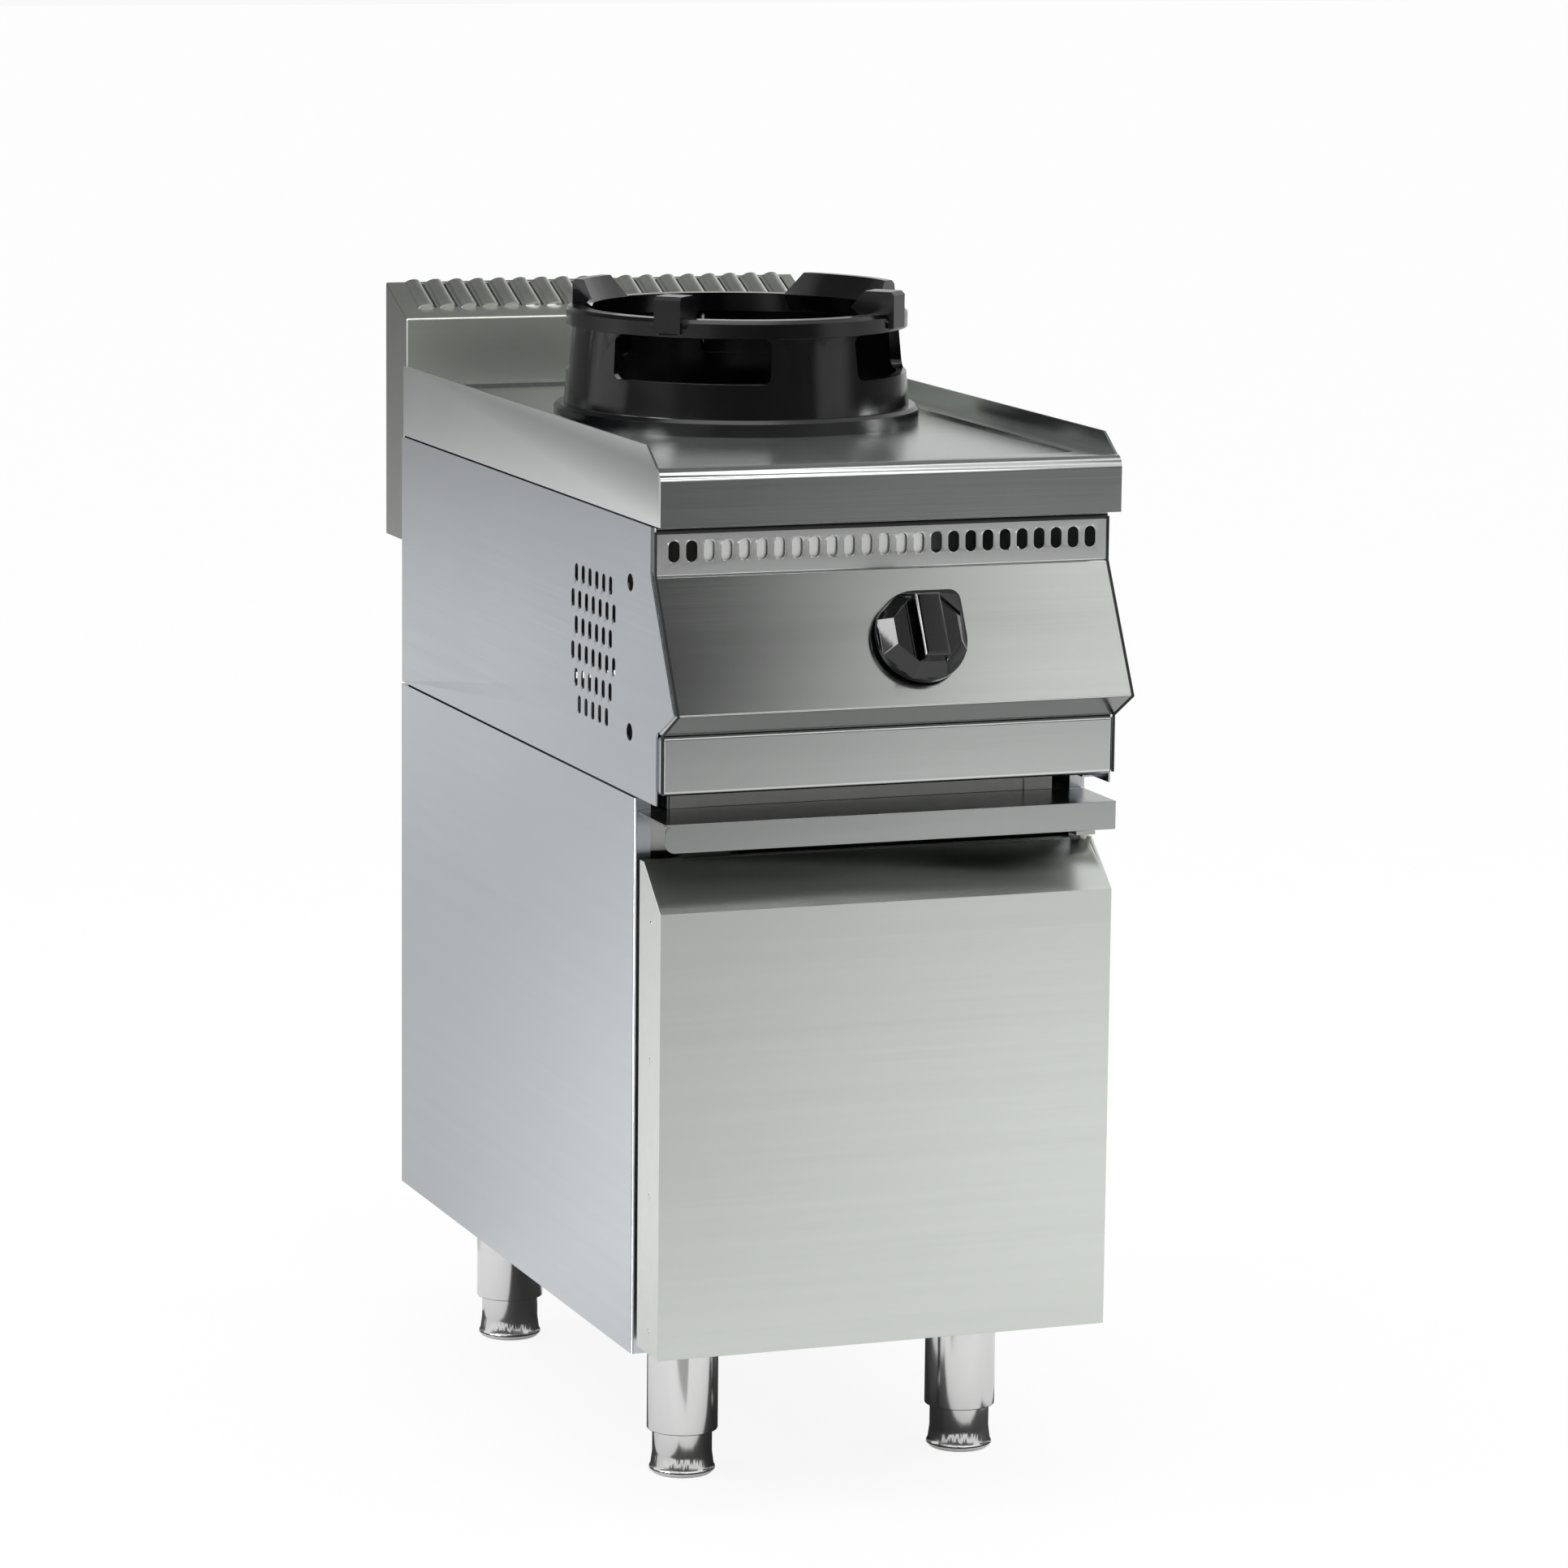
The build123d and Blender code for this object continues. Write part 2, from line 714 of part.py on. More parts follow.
with BuildPart() as flue:
    with BuildSketch(Plane.YZ.offset(-flue_width / 2)):
        with BuildLine():
            Polyline(
                (flue_front, apron_bottom),
                (flue_front, flue_front_top),
                (flue_rear, flue_top),
                (flue_rear, flue_bottom),
                (flue_inner, flue_bottom),
                (flue_inner, apron_bottom),
                close=True,
            )
        make_face()
    extrude(amount=flue_width)
    offset(amount=-sheet, openings=flue.faces().sort_by(Axis.Z)[0])
    with BuildSketch(louvre_plane):
        for x in louvre_xs:
            with BuildLine():
                ThreePointArc((x, 0), (x + louvre_crest, louvre_height), (x + louvre_width, louvre_lip))
                Polyline((x + louvre_width, louvre_lip), (x + louvre_width, -sheet / 2), (x, -sheet / 2), (x, 0))
            make_face()
    extrude(amount=louvre_length)
    with BuildSketch(louvre_plane.offset(sheet)):
        for x in louvre_xs:
            start = x + louvre_width - louvre_slot
            edge = x + louvre_width
            with BuildLine():
                Polyline(
                    (start, -2 * sheet),
                    (start, louvre_lip - louvre_sheet),
                    (x + louvre_crest, louvre_height - louvre_sheet),
                    (edge, louvre_lip - louvre_sheet),
                    (edge + louvre_gap, louvre_lip - louvre_sheet),
                    (edge + louvre_gap, -2 * sheet),
                    close=True,
                )
            make_face()
    extrude(amount=louvre_length - 2 * sheet, mode=Mode.SUBTRACT)

# Drip tray: a pan behind a flange whose front edge folds down as a pull lip
tray_lip_front = back(-tray_lip_overhang)
tray_pan_front_face = back(tray_pan_front)
tray_pan_rear_face = tray_pan_front_face + tray_pan_length
tray_half_width = tray_pan_width / 2
with BuildPart() as drip_tray:
    with BuildSketch(Plane(origin=(0, tray_lip_front, tray_top - tray_lip_height / 2), x_dir=(1, 0, 0), z_dir=(0, 1, 0))):
        lip = Rectangle(tray_lip_width, tray_lip_height)
        fillet(lip.vertices().sort_by(Axis.Z)[:2], tray_lip_corner)
    extrude(amount=sheet)
    block((-tray_lip_width / 2, tray_lip_width / 2), (tray_lip_front, back(tray_flange_depth)), (tray_under, tray_top))
    block((-tray_half_width, tray_half_width), (back(tray_flange_depth), tray_pan_rear_face), (tray_under, tray_top))

# The pan's four walls, welded to the tray's sheet, with a tab at each end of the front one
tray_wall_top = tray_top + tray_wall
tray_end_wall = tray_half_width - sheet - clearance
with BuildPart() as tray_walls:
    for side in (-1, 1):
        block(
            (side * tray_half_width, side * (tray_half_width - sheet)),
            (tray_pan_front_face, tray_pan_rear_face),
            (tray_top, tray_wall_top),
        )
        block(
            (side * tray_end_wall, side * (tray_end_wall - tray_tab_width)),
            (tray_pan_front_face - sheet, tray_pan_front_face),
            (tray_top, tray_wall_top - 1),
        )
    for start in (tray_pan_front_face, tray_pan_rear_face - sheet):
        block((-tray_end_wall, tray_end_wall), (start, start + sheet), (tray_top, tray_wall_top))

# Control knob: skirt with a square corner as its pointer, octagonal bevel and grip bar
knob_plane = Plane(origin=knob_base, x_dir=(1, 0, 0), z_dir=knob_normal)
with BuildPart() as knob:
    with BuildSketch(knob_plane.offset(knob_gap)):
        Circle(knob_skirt_radius)
        corner_centre = knob_skirt_radius / 2
        with Locations((corner_centre, corner_centre)):
            pointer = Rectangle(knob_skirt_radius, knob_skirt_radius)
        tip = knob_plane.offset(knob_gap)
        fillet(pointer.vertices().sort_by(Axis((0, 0, 0), (1, 1, 0)))[-1], knob_skirt_corner)
    extrude(amount=knob_skirt_height)
    with BuildSketch(knob_plane.offset(knob_gap + knob_skirt_height)):
        RegularPolygon(knob_facet_radius, 8, major_radius=False, rotation=22.5)
    with BuildSketch(knob_plane.offset(knob_gap + knob_top_height)):
        RegularPolygon(knob_top_radius, 8, major_radius=False, rotation=22.5)
    loft()
    with BuildSketch(knob_plane.offset(knob_gap + knob_top_height)):
        Rectangle(knob_grip_width, knob_grip_length)
    extrude(amount=knob_grip_height)
    grip_face = knob.faces().sort_by(Axis((0, 0, 0), knob_normal))[-1]
    fillet(grip_face.edges(), grip_round)
    with BuildSketch(knob_plane.offset(knob_gap)):
        Circle(spindle_radius)
    extrude(amount=spindle_engagement, mode=Mode.SUBTRACT)

# Gas tap behind the panel: gland, body, spindle, push collar and its return spring
inward = tuple(-v for v in knob_normal)


def tap_point(depth):
    """A point on the tap's axis this far behind the panel's face."""
    return tuple(base + step * depth for base, step in zip(knob_base, inward))


tap_start = sheet + gland_length
collar_start = tap_start + collar_gap
spring_start = collar_start + collar_length + push_travel + clearance
spring_end = spring_start + spring_length
spindle_end = spring_end + spindle_tail
tap_end = tap_start + tap_length
branch_depth = tap_start + tap_length * branch_share
with BuildPart() as tap_gland:
    rod(tap_point(sheet), inward, gland_length, collar_radius + 4)
    rod(tap_point(0), inward, tap_start + 1, panel_hole_radius, mode=Mode.SUBTRACT)
with BuildPart() as tap_body:
    rod(tap_point(tap_start), inward, tap_length, tap_radius)
    rod(tap_point(branch_depth), (1, 0, 0), tap_branch_length, tap_branch_radius)
    rod(tap_point(tap_start - 1), inward, spring_end - tap_start + 1, collar_radius + running_clearance, mode=Mode.SUBTRACT)
    rod(
        tap_point(spring_end - 1),
        inward,
        spindle_end + push_travel + clearance - spring_end + 1,
        spindle_radius + running_clearance,
        mode=Mode.SUBTRACT,
    )
with BuildPart() as tap_spindle:
    rod(tap_point(-knob_gap - spindle_engagement), inward, knob_gap + spindle_engagement + spindle_end, spindle_radius)
with BuildPart() as push_collar:
    rod(tap_point(collar_start), inward, collar_length, collar_radius)
    rod(tap_point(collar_start - 1), inward, collar_length + 2, spindle_radius + running_clearance, mode=Mode.SUBTRACT)
with BuildPart() as tap_spring:
    rod(tap_point(spring_start), inward, spring_length, collar_radius - 1)
    rod(tap_point(spring_start - 1), inward, spring_length + 2, collar_radius - 3, mode=Mode.SUBTRACT)

# Gas inlet through the module's back, its lock nut, the supply pipe and the back itself
branch_point = tap_point(branch_depth)
inlet_height = branch_point[2]
inlet_wall_face = body_back - 2 * sheet
with BuildPart() as gas_inlet:
    rod(
        (inlet_right, inlet_wall_face - inlet_inner_reach, inlet_height),
        (0, 1, 0),
        inlet_inner_reach + sheet + inlet_neck_reach,
        inlet_neck_radius,
    )
    rod((inlet_right, inlet_wall_face, inlet_height), (0, 1, 0), sheet + inlet_reach, inlet_radius)
    with BuildSketch(Plane(origin=(inlet_right, inlet_wall_face, inlet_height), z_dir=(0, -1, 0))):
        RegularPolygon(inlet_nut_radius, 6)
    extrude(amount=inlet_nut_height)
    rod(
        (inlet_right, inlet_wall_face - 2 * inlet_inner_reach, inlet_height),
        (0, 1, 0),
        4 * inlet_inner_reach + inlet_reach,
        inlet_bore_radius,
        mode=Mode.SUBTRACT,
    )
with BuildPart() as inlet_nut:
    with BuildSketch(Plane(origin=(inlet_right, body_back - sheet, inlet_height), z_dir=(0, 1, 0))):
        RegularPolygon(inlet_nut_radius, 6)
        Circle(inlet_neck_radius, mode=Mode.SUBTRACT)
    extrude(amount=inlet_nut_height)
with BuildPart() as supply_pipe:
    with BuildLine() as supply_route:
        FilletPolyline(
            (branch_point[0] + tap_branch_length, branch_point[1], inlet_height),
            (inlet_right, branch_point[1], inlet_height),
            (inlet_right, inlet_wall_face - inlet_inner_reach, inlet_height),
            radius=supply_bend_radius,
        )
    with BuildSketch(Plane(origin=supply_route.line @ 0, z_dir=supply_route.line % 0)):
        Circle(pipe_radius)
    sweep()
with BuildPart() as module_back:
    block(
        (-fit_half, fit_half),
        (inlet_wall_face, inlet_wall_face + sheet),
        (module_bottom + sheet, module_top - sheet),
    )
    rod((inlet_right, body_back, inlet_height), (0, -1, 0), 4 * sheet, inlet_neck_radius + clearance, mode=Mode.SUBTRACT)

# Burner supports: two bars across the module
burner_bottom = well_top - burner_foot_drop
burner_y = back(burner_back)
with BuildPart() as burner_supports:
    for side in (-1, 1):
        middle = burner_y + side * support_spacing / 2
        block(
            (-fit_half, fit_half),
            (middle - support_width / 2, middle + support_width / 2),
            (burner_bottom - support_height, burner_bottom),
        )
        block(
            (-fit_half, fit_half),
            (middle - support_width / 2 + sheet, middle + support_width / 2 - sheet),
            (burner_bottom - support_height, burner_bottom - sheet),
            mode=Mode.SUBTRACT,
        )

# Burner: foot, neck and bowl, with a mixing tube forwards
bowl_start = burner_body_height - bowl_rim_height - bowl_flare_height
with BuildPart() as burner_body:
    with BuildSketch(Plane.XZ):
        with BuildLine():
            Polyline(
                (0, 0),
                (burner_foot_radius, 0),
                (burner_foot_radius, burner_foot_sheet),
                (burner_neck_radius, burner_foot_sheet),
                (burner_neck_radius, bowl_start),
                (burner_body_radius, bowl_start + bowl_flare_height),
                (burner_body_radius, burner_body_height),
                (0, burner_body_height),
                close=True,
            )
        make_face()
    revolve(axis=Axis.Z)
    rod((0, 0, mixing_tube_rise), (0, -1, 0), mixing_tube_length, mixing_tube_radius)
    with BuildSketch(Plane.XZ):
        with BuildLine():
            Polyline(
                (0, mixing_tube_rise),
                (mixing_tube_bore, mixing_tube_rise),
                (mixing_tube_bore, bowl_start),
                (burner_body_radius - burner_wall, bowl_start + bowl_flare_height + burner_wall / 2),
                (burner_body_radius - burner_wall, burner_body_height),
                (0, burner_body_height),
                close=True,
            )
        make_face()
    revolve(axis=Axis.Z, mode=Mode.SUBTRACT)
    rod((0, 0, mixing_tube_rise), (0, -1, 0), mixing_tube_length + 1, mixing_tube_bore, mode=Mode.SUBTRACT)
burner_place = Location((0, burner_y, burner_bottom))
burner_body = burner_body.part.moved(burner_place)

# Burner cap: a spigot in the bowl, a ring of flame ports and a lid
with BuildPart() as burner_cap:
    with BuildSketch(Plane.XZ):
        with BuildLine():
            Polyline(
                (0, burner_port_height),
                (burner_body_radius - burner_wall - cap_spigot_wall, burner_port_height),
                (burner_body_radius - burner_wall - cap_spigot_wall, -cap_spigot_height),
                (burner_body_radius - burner_wall - running_clearance, -cap_spigot_height),
                (burner_body_radius - burner_wall - running_clearance, 0),
                (burner_body_radius, 0),
                (burner_body_radius, burner_port_height),
                (burner_cap_radius, burner_port_height),
                (burner_cap_radius, burner_cap_height - cap_bevel),
                (burner_cap_radius - cap_bevel, burner_cap_height),
                (0, burner_cap_height),
                close=True,
            )
        make_face()
    revolve(axis=Axis.Z)
    with PolarLocations(burner_body_radius, burner_port_count):
        Box(
            4 * burner_wall,
            burner_port_width,
            burner_port_height,
            align=(Align.CENTER, Align.CENTER, Align.MIN),
            mode=Mode.SUBTRACT,
        )
burner_cap = burner_cap.part.moved(Location((0, burner_y, burner_bottom + burner_body_height)))

# Injector in its bracket, and the pipe from the tap's end to it
mix_height = burner_bottom + mixing_tube_rise
injector_tip = burner_y - mixing_tube_length - injector_gap
bracket_face = injector_tip - injector_length / 2
front_bar = burner_y - support_spacing / 2
with BuildPart() as injector_bracket:
    block(
        (-injector_bracket_width / 2, injector_bracket_width / 2),
        (bracket_face, front_bar - support_width / 2 + bracket_overlap),
        (burner_bottom, burner_bottom + bracket_sheet),
    )
    block(
        (-injector_bracket_width / 2, injector_bracket_width / 2),
        (bracket_face, bracket_face + bracket_sheet),
        (burner_bottom, mix_height + injector_radius + 4),
    )
    rod((0, bracket_face - 1, mix_height), (0, 1, 0), bracket_sheet + 2, injector_radius / 2, mode=Mode.SUBTRACT)
with BuildPart() as injector:
    rod((0, injector_tip, mix_height), (0, -1, 0), injector_length, injector_radius / 2)
    rod((0, injector_tip - 3, mix_height), (0, -1, 0), injector_tip - 3 - bracket_face - bracket_sheet, injector_radius)
    rod((0, bracket_face, mix_height), (0, -1, 0), injector_length / 2 - 2, injector_radius)
feed_start = tap_point(tap_end)
feed_elbow = tap_point(tap_end + feed_straight)
with BuildPart() as feed_pipe:
    with BuildLine() as feed_route:
        FilletPolyline(
            feed_start,
            feed_elbow,
            (feed_elbow[0], feed_elbow[1], mix_height),
            (0, (feed_elbow[1] + injector_tip) / 2, mix_height),
            (0, injector_tip - injector_length, mix_height),
            radius=feed_bend_radius,
        )
    with BuildSketch(Plane(origin=feed_route.line @ 0, z_dir=feed_route.line % 0)):
        Circle(feed_pipe_radius)
    sweep()

# Pilot burner and thermocouple, standing on the front support bar
pilot_top = burner_bottom + burner_body_height
with BuildPart() as pilot_burner:
    rod((pilot_right, front_bar, burner_bottom), (0, 0, 1), pilot_top - burner_bottom, pilot_radius)
    rod((pilot_right, front_bar, pilot_top), (0, 0, 1), 3 * pilot_radius, 1.5 * pilot_radius)
    rod((pilot_right, front_bar, burner_bottom), (0, 0, 1), 4, 2 * pilot_radius)
with BuildPart() as thermocouple:
    rod((pilot_right + pilot_spacing, front_bar, burner_bottom), (0, 0, 1), pilot_top - burner_bottom + 2 * pilot_radius, pilot_radius / 2)
    rod((pilot_right + pilot_spacing, front_bar, burner_bottom), (0, 0, 1), 4, pilot_radius)

# Wok stand: cast ring with four windows, two wide rear lugs and two narrow front lugs
rim_bottom = stand_height - stand_rim_height
lug_top = stand_height + lug_rise


def rear_lug(width):
    """One wide lug: the rim's own section carried upwards, trimmed to its width with sloped ends."""
    with BuildPart() as lug:
        with BuildSketch(Plane.XZ):
            with BuildLine():
                Polyline(
                    (stand_rim_inner_radius, rim_bottom + lug_edge),
                    (stand_rim_radius - lug_edge, rim_bottom + lug_edge),
                    (stand_rim_radius - 1, lug_top - lug_edge),
                    (stand_rim_radius - lug_edge, lug_top),
                    (stand_rim_radius - rear_lug_depth / 2, lug_top),
                    (stand_rim_radius - rear_lug_depth, stand_height),
                    close=True,
                )
            make_face()
        revolve(axis=Axis.Z)
        with BuildSketch(Plane.YZ):
            with BuildLine():
                Polyline(
                    (-width / 2, 0),
                    (-width / 2, stand_height),
                    (-width / 2 + lug_end_slope, lug_top),
                    (width / 2 - lug_end_slope, lug_top),
                    (width / 2, stand_height),
                    (width / 2, 0),
                    close=True,
                )
            make_face()
        extrude(amount=2 * stand_rim_radius, mode=Mode.INTERSECT)
    return lug.part


with BuildPart() as front_lug:
    with BuildSketch(Plane.XZ.offset(-front_lug_width / 2)):
        with BuildLine():
            Polyline(
                (front_lug_outer_radius, stand_height - front_lug_hang),
                (front_lug_outer_radius, lug_top - lug_edge),
                (front_lug_outer_radius - lug_edge, lug_top),
                (front_lug_top_radius, lug_top),
                (front_lug_inner_radius, stand_height + lug_rise / 4),
                (stand_rim_inner_radius + 1, stand_height - front_lug_hang),
                close=True,
            )
        make_face()
    extrude(amount=front_lug_width)
with BuildPart() as wok_stand:
    with BuildSketch(Plane.XZ):
        with BuildLine():
            Polyline(
                (stand_wall_bottom_radius - stand_wall, 0),
                (stand_foot_radius, 0),
                (stand_foot_radius, stand_foot_height - lug_edge),
                (stand_foot_radius - lug_edge, stand_foot_height),
                (stand_wall_bottom_radius, stand_foot_height),
                (stand_wall_top_radius, rim_bottom),
                (stand_rim_radius, rim_bottom + 1),
                (stand_rim_radius, stand_height - lug_edge),
                (stand_rim_radius - lug_edge, stand_height),
                (stand_rim_inner_radius, stand_height),
                (stand_rim_inner_radius, rim_bottom),
                (stand_wall_top_radius - stand_wall, rim_bottom),
                close=True,
            )
        make_face()
    revolve(axis=Axis.Z)
    window_width = 2 * stand_wall_top_radius * sin(radians(window_angle / 2))
    window_middle = (window_sill + rim_bottom) / 2
    for number in range(window_count):
        angle = window_turn + 360 / window_count * number
        outwards = (cos(radians(angle)), sin(radians(angle)), 0)
        with BuildSketch(Plane(origin=(0, 0, window_middle), x_dir=(-outwards[1], outwards[0], 0), z_dir=outwards)):
            RectangleRounded(window_width, rim_bottom - window_sill, window_corner)
        extrude(amount=2 * stand_foot_radius, mode=Mode.SUBTRACT)
    for angle, width in zip(rear_lug_turns, rear_lug_widths):
        add(rear_lug(width), rotation=(0, 0, angle))
    for angle in front_lug_turns:
        add(front_lug.part, rotation=(0, 0, angle))
wok_stand = wok_stand.part.moved(Location((0, burner_y, well_top)))

pieces = {
    "cabinet_left_side": cabinet_left_side.part,
    "cabinet_right_side": cabinet_right_side,
    "cabinet_back": cabinet_back.part,
    "cabinet_floor": cabinet_floor.part,
    "front_rail": front_rail.part,
    "rear_rail": rear_rail.part,
    "tray_left_runner": tray_left_runner.part,
    "tray_right_runner": tray_right_runner,
    "seam_seals": seam_seals.part,
    "leg_plates": leg_plates.part,
    "leg_sleeves": leg_sleeves.part,
    "leg_nuts": leg_nuts.part,
    "leg_bushes": leg_bushes.part,
    "front_left_foot": feet[0],
    "front_right_foot": feet[1],
    "rear_left_foot": feet[2],
    "rear_right_foot": feet[3],
    "door_shell": door_shell.part,
    "door_liner": door_liner.part,
    "door_pivot_blocks": door_pivot_blocks.part,
    "lower_hinge_bracket": lower_hinge_bracket.part,
    "upper_hinge_bracket": upper_hinge_bracket.part,
    "hinge_washer": hinge_washer.part,
    "magnet_catch": magnet_catch.part,
    "catch_strike": catch_strike.part,
    "module_left_side": module_left_side.part,
    "module_right_side": module_right_side,
    "module_back": module_back.part,
    "vent_strip": vent_strip.part,
    "control_panel": control_panel.part,
    "lower_fascia": lower_fascia.part,
    "worktop": worktop.part,
    "flue": flue.part,
    "drip_tray": drip_tray.part,
    "tray_walls": tray_walls.part,
    "knob": knob.part,
    "tap_gland": tap_gland.part,
    "tap_body": tap_body.part,
    "tap_spindle": tap_spindle.part,
    "push_collar": push_collar.part,
    "tap_spring": tap_spring.part,
    "gas_inlet": gas_inlet.part,
    "inlet_nut": inlet_nut.part,
    "supply_pipe": supply_pipe.part,
    "feed_pipe": feed_pipe.part,
    "injector": injector.part,
    "injector_bracket": injector_bracket.part,
    "burner_supports": burner_supports.part,
    "burner_body": burner_body,
    "burner_cap": burner_cap,
    "pilot_burner": pilot_burner.part,
    "thermocouple": thermocouple.part,
    "wok_stand": wok_stand,
}
for name, piece in pieces.items():
    piece.label = name
    export_step(piece, f"parts/{name}.step")
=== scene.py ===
"""Dresses the gas wok range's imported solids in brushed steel, black castings and chrome."""

import json
import math

import bmesh
import bpy
from mathutils import Matrix, Vector


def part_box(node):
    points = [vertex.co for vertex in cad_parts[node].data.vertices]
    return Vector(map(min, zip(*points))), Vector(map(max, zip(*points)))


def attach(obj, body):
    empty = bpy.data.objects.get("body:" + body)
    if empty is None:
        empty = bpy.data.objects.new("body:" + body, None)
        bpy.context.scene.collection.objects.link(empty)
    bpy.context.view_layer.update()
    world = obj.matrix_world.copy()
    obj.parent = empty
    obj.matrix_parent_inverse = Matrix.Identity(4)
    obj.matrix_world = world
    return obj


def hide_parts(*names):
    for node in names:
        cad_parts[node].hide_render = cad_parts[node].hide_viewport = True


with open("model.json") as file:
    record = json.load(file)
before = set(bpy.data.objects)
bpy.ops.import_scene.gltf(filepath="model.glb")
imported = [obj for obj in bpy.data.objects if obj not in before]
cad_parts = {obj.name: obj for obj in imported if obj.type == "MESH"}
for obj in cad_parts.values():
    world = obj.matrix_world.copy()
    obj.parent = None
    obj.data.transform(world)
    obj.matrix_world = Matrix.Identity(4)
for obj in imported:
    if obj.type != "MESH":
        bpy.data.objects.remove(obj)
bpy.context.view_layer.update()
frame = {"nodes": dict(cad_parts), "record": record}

# The photograph's view: a long lens a little above the worktop, turned to the range's left.
# The picture was taken from about five metres, so upright edges hardly lean.
photo_pixels = 1932
focal_pixels = 7393.0
sensor_width = 36.0
camera_x, camera_from_apron, camera_height = -1.7743, -4.4741, 1.4169
azimuth, elevation, roll = (math.radians(v) for v in (-20.6, 9.6, 0.6))
apron_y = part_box("worktop")[0].y
backwards = Vector(
    (
        math.sin(azimuth) * math.cos(elevation),
        -math.cos(azimuth) * math.cos(elevation),
        math.sin(elevation),
    )
)
across = Vector((math.cos(azimuth), math.sin(azimuth), 0))
upwards = across.cross(-backwards)
turned_across = math.cos(roll) * across + math.sin(roll) * upwards
turned_up = -math.sin(roll) * across + math.cos(roll) * upwards
camera_data = bpy.data.cameras.new("photo_camera")
camera_data.sensor_width = sensor_width
camera_data.lens = sensor_width * focal_pixels / photo_pixels
camera = bpy.data.objects.new("photo_camera", camera_data)
bpy.context.collection.objects.link(camera)
place = Matrix((turned_across, turned_up, backwards)).transposed().to_4x4()
place.translation = Vector((camera_x, camera_from_apron + apron_y, camera_height))
camera.matrix_world = place
bpy.context.scene.camera = camera


# Studio: a white floor under an open white sky, as in a catalogue picture.
# Cards that only gloss can see stand for the room beyond it: its floor, walls, ceiling and windows.
# Polished steel shows little but what it mirrors, so these cards give the sheets their greys.
class Reading:
    """One socket of a node tree. Sums written on it in Python become Math nodes."""

    def __init__(self, recipe, socket):
        self.recipe, self.socket = recipe, socket

    def math(self, operation, first, second):
        return self.recipe.node("ShaderNodeMath", {"operation": operation}, {0: first, 1: second})

    def __add__(self, other):
        return self.math("ADD", self, other)

    def __sub__(self, other):
        return self.math("SUBTRACT", self, other)

    def __rsub__(self, other):
        return self.math("SUBTRACT", other, self)

    def __mul__(self, other):
        return self.math("MULTIPLY", self, other)

    __radd__ = __add__
    __rmul__ = __mul__


class Recipe:
    """The nodes of one material or of one Geometry Nodes tree."""

    def __init__(self, tree):
        self.tree = tree

    def node(self, kind, settings=None, inputs=None, output=0):
        """Adds a node: its settings first, then the values or links of its sockets."""
        made = self.tree.nodes.new(kind)
        for name, value in (settings or {}).items():
            setattr(made, name, value)
        for key, value in (inputs or {}).items():
            if isinstance(value, Reading):
                self.tree.links.new(value.socket, made.inputs[key])
            else:
                made.inputs[key].default_value = value
        return Reading(self, made.outputs[output]) if len(made.outputs) else made


class Finish(Recipe):
    """One material, whose patterns are placed by the object's own coordinates."""

    def __init__(self, name):
        self.material = bpy.data.materials.new(name)
        self.material.use_nodes = True
        super().__init__(self.material.node_tree)
        self.tree.nodes.clear()
        self.place = self.node("ShaderNodeTexCoord", output=3)

    def noise(self, cells, detail=2.0, rough=0.5):
        """Noise from 0 to 1 with this many cells a metre, alike along the axes or one value for each."""
        stretch = cells if isinstance(cells, (list, tuple)) else (cells,) * 3
        placed = self.node("ShaderNodeMapping", {}, {"Vector": self.place, "Scale": stretch})
        inputs = {"Vector": placed, "Scale": 1.0, "Detail": detail, "Roughness": rough}
        return self.node("ShaderNodeTexNoise", {}, inputs)

    def band(self, value, low, high):
        """0 below low, 1 above high."""
        return self.node("ShaderNodeMapRange", {}, {"Value": value, "From Min": low, "From Max": high})

    def mix(self, share, first, second):
        """The first colour at share 0, the second at share 1."""
        colours = [(*c, 1.0) if isinstance(c, tuple) else c for c in (first, second)]
        inputs = {0: share, 6: colours[0], 7: colours[1]}
        return self.node("ShaderNodeMix", {"data_type": "RGBA"}, inputs, 2)

    def end(self, shader):
        """Makes a shader the whole material."""
        self.node("ShaderNodeOutputMaterial", {}, {"Surface": shader})
        return self.material

    def glow(self, strength):
        """A white emission."""
        return self.node("ShaderNodeEmission", {}, {"Color": (1.0, 1.0, 1.0, 1.0), "Strength": strength})

    def surface(self, inputs, bump=None, depth=0.0):
        """Ends the material in a Principled shader, with a bump this many metres deep."""
        if bump is not None:
            inputs["Normal"] = self.node("ShaderNodeBump", {}, {"Height": bump, "Distance": depth})
        return self.end(self.node("ShaderNodeBsdfPrincipled", {}, inputs))


def new_object(name, mesh):
    """Links a finished mesh to the scene."""
    made = bpy.data.objects.new(name, mesh)
    bpy.context.collection.objects.link(made)
    return made


def rectangle(x, y, z):
    """Corners of a rectangle: two of its coordinates run between a pair of limits, the third stays."""
    spans = [v if isinstance(v, tuple) else (v, v) for v in (x, y, z)]
    first, second = (axis for axis, v in enumerate((x, y, z)) if isinstance(v, tuple))
    corners = []
    for a, b in ((0, 0), (1, 0), (1, 1), (0, 1)):
        corner = [span[0] for span in spans]
        corner[first], corner[second] = spans[first][a], spans[second][b]
        corners.append(tuple(corner))
    return corners


def flat_panel(name, corners, material):
    """A single flat face of the studio."""
    mesh = bpy.data.meshes.new(name)
    mesh.from_pydata(corners, [], [tuple(range(len(corners)))])
    mesh.materials.append(material)
    made = new_object(name, mesh)
    return made


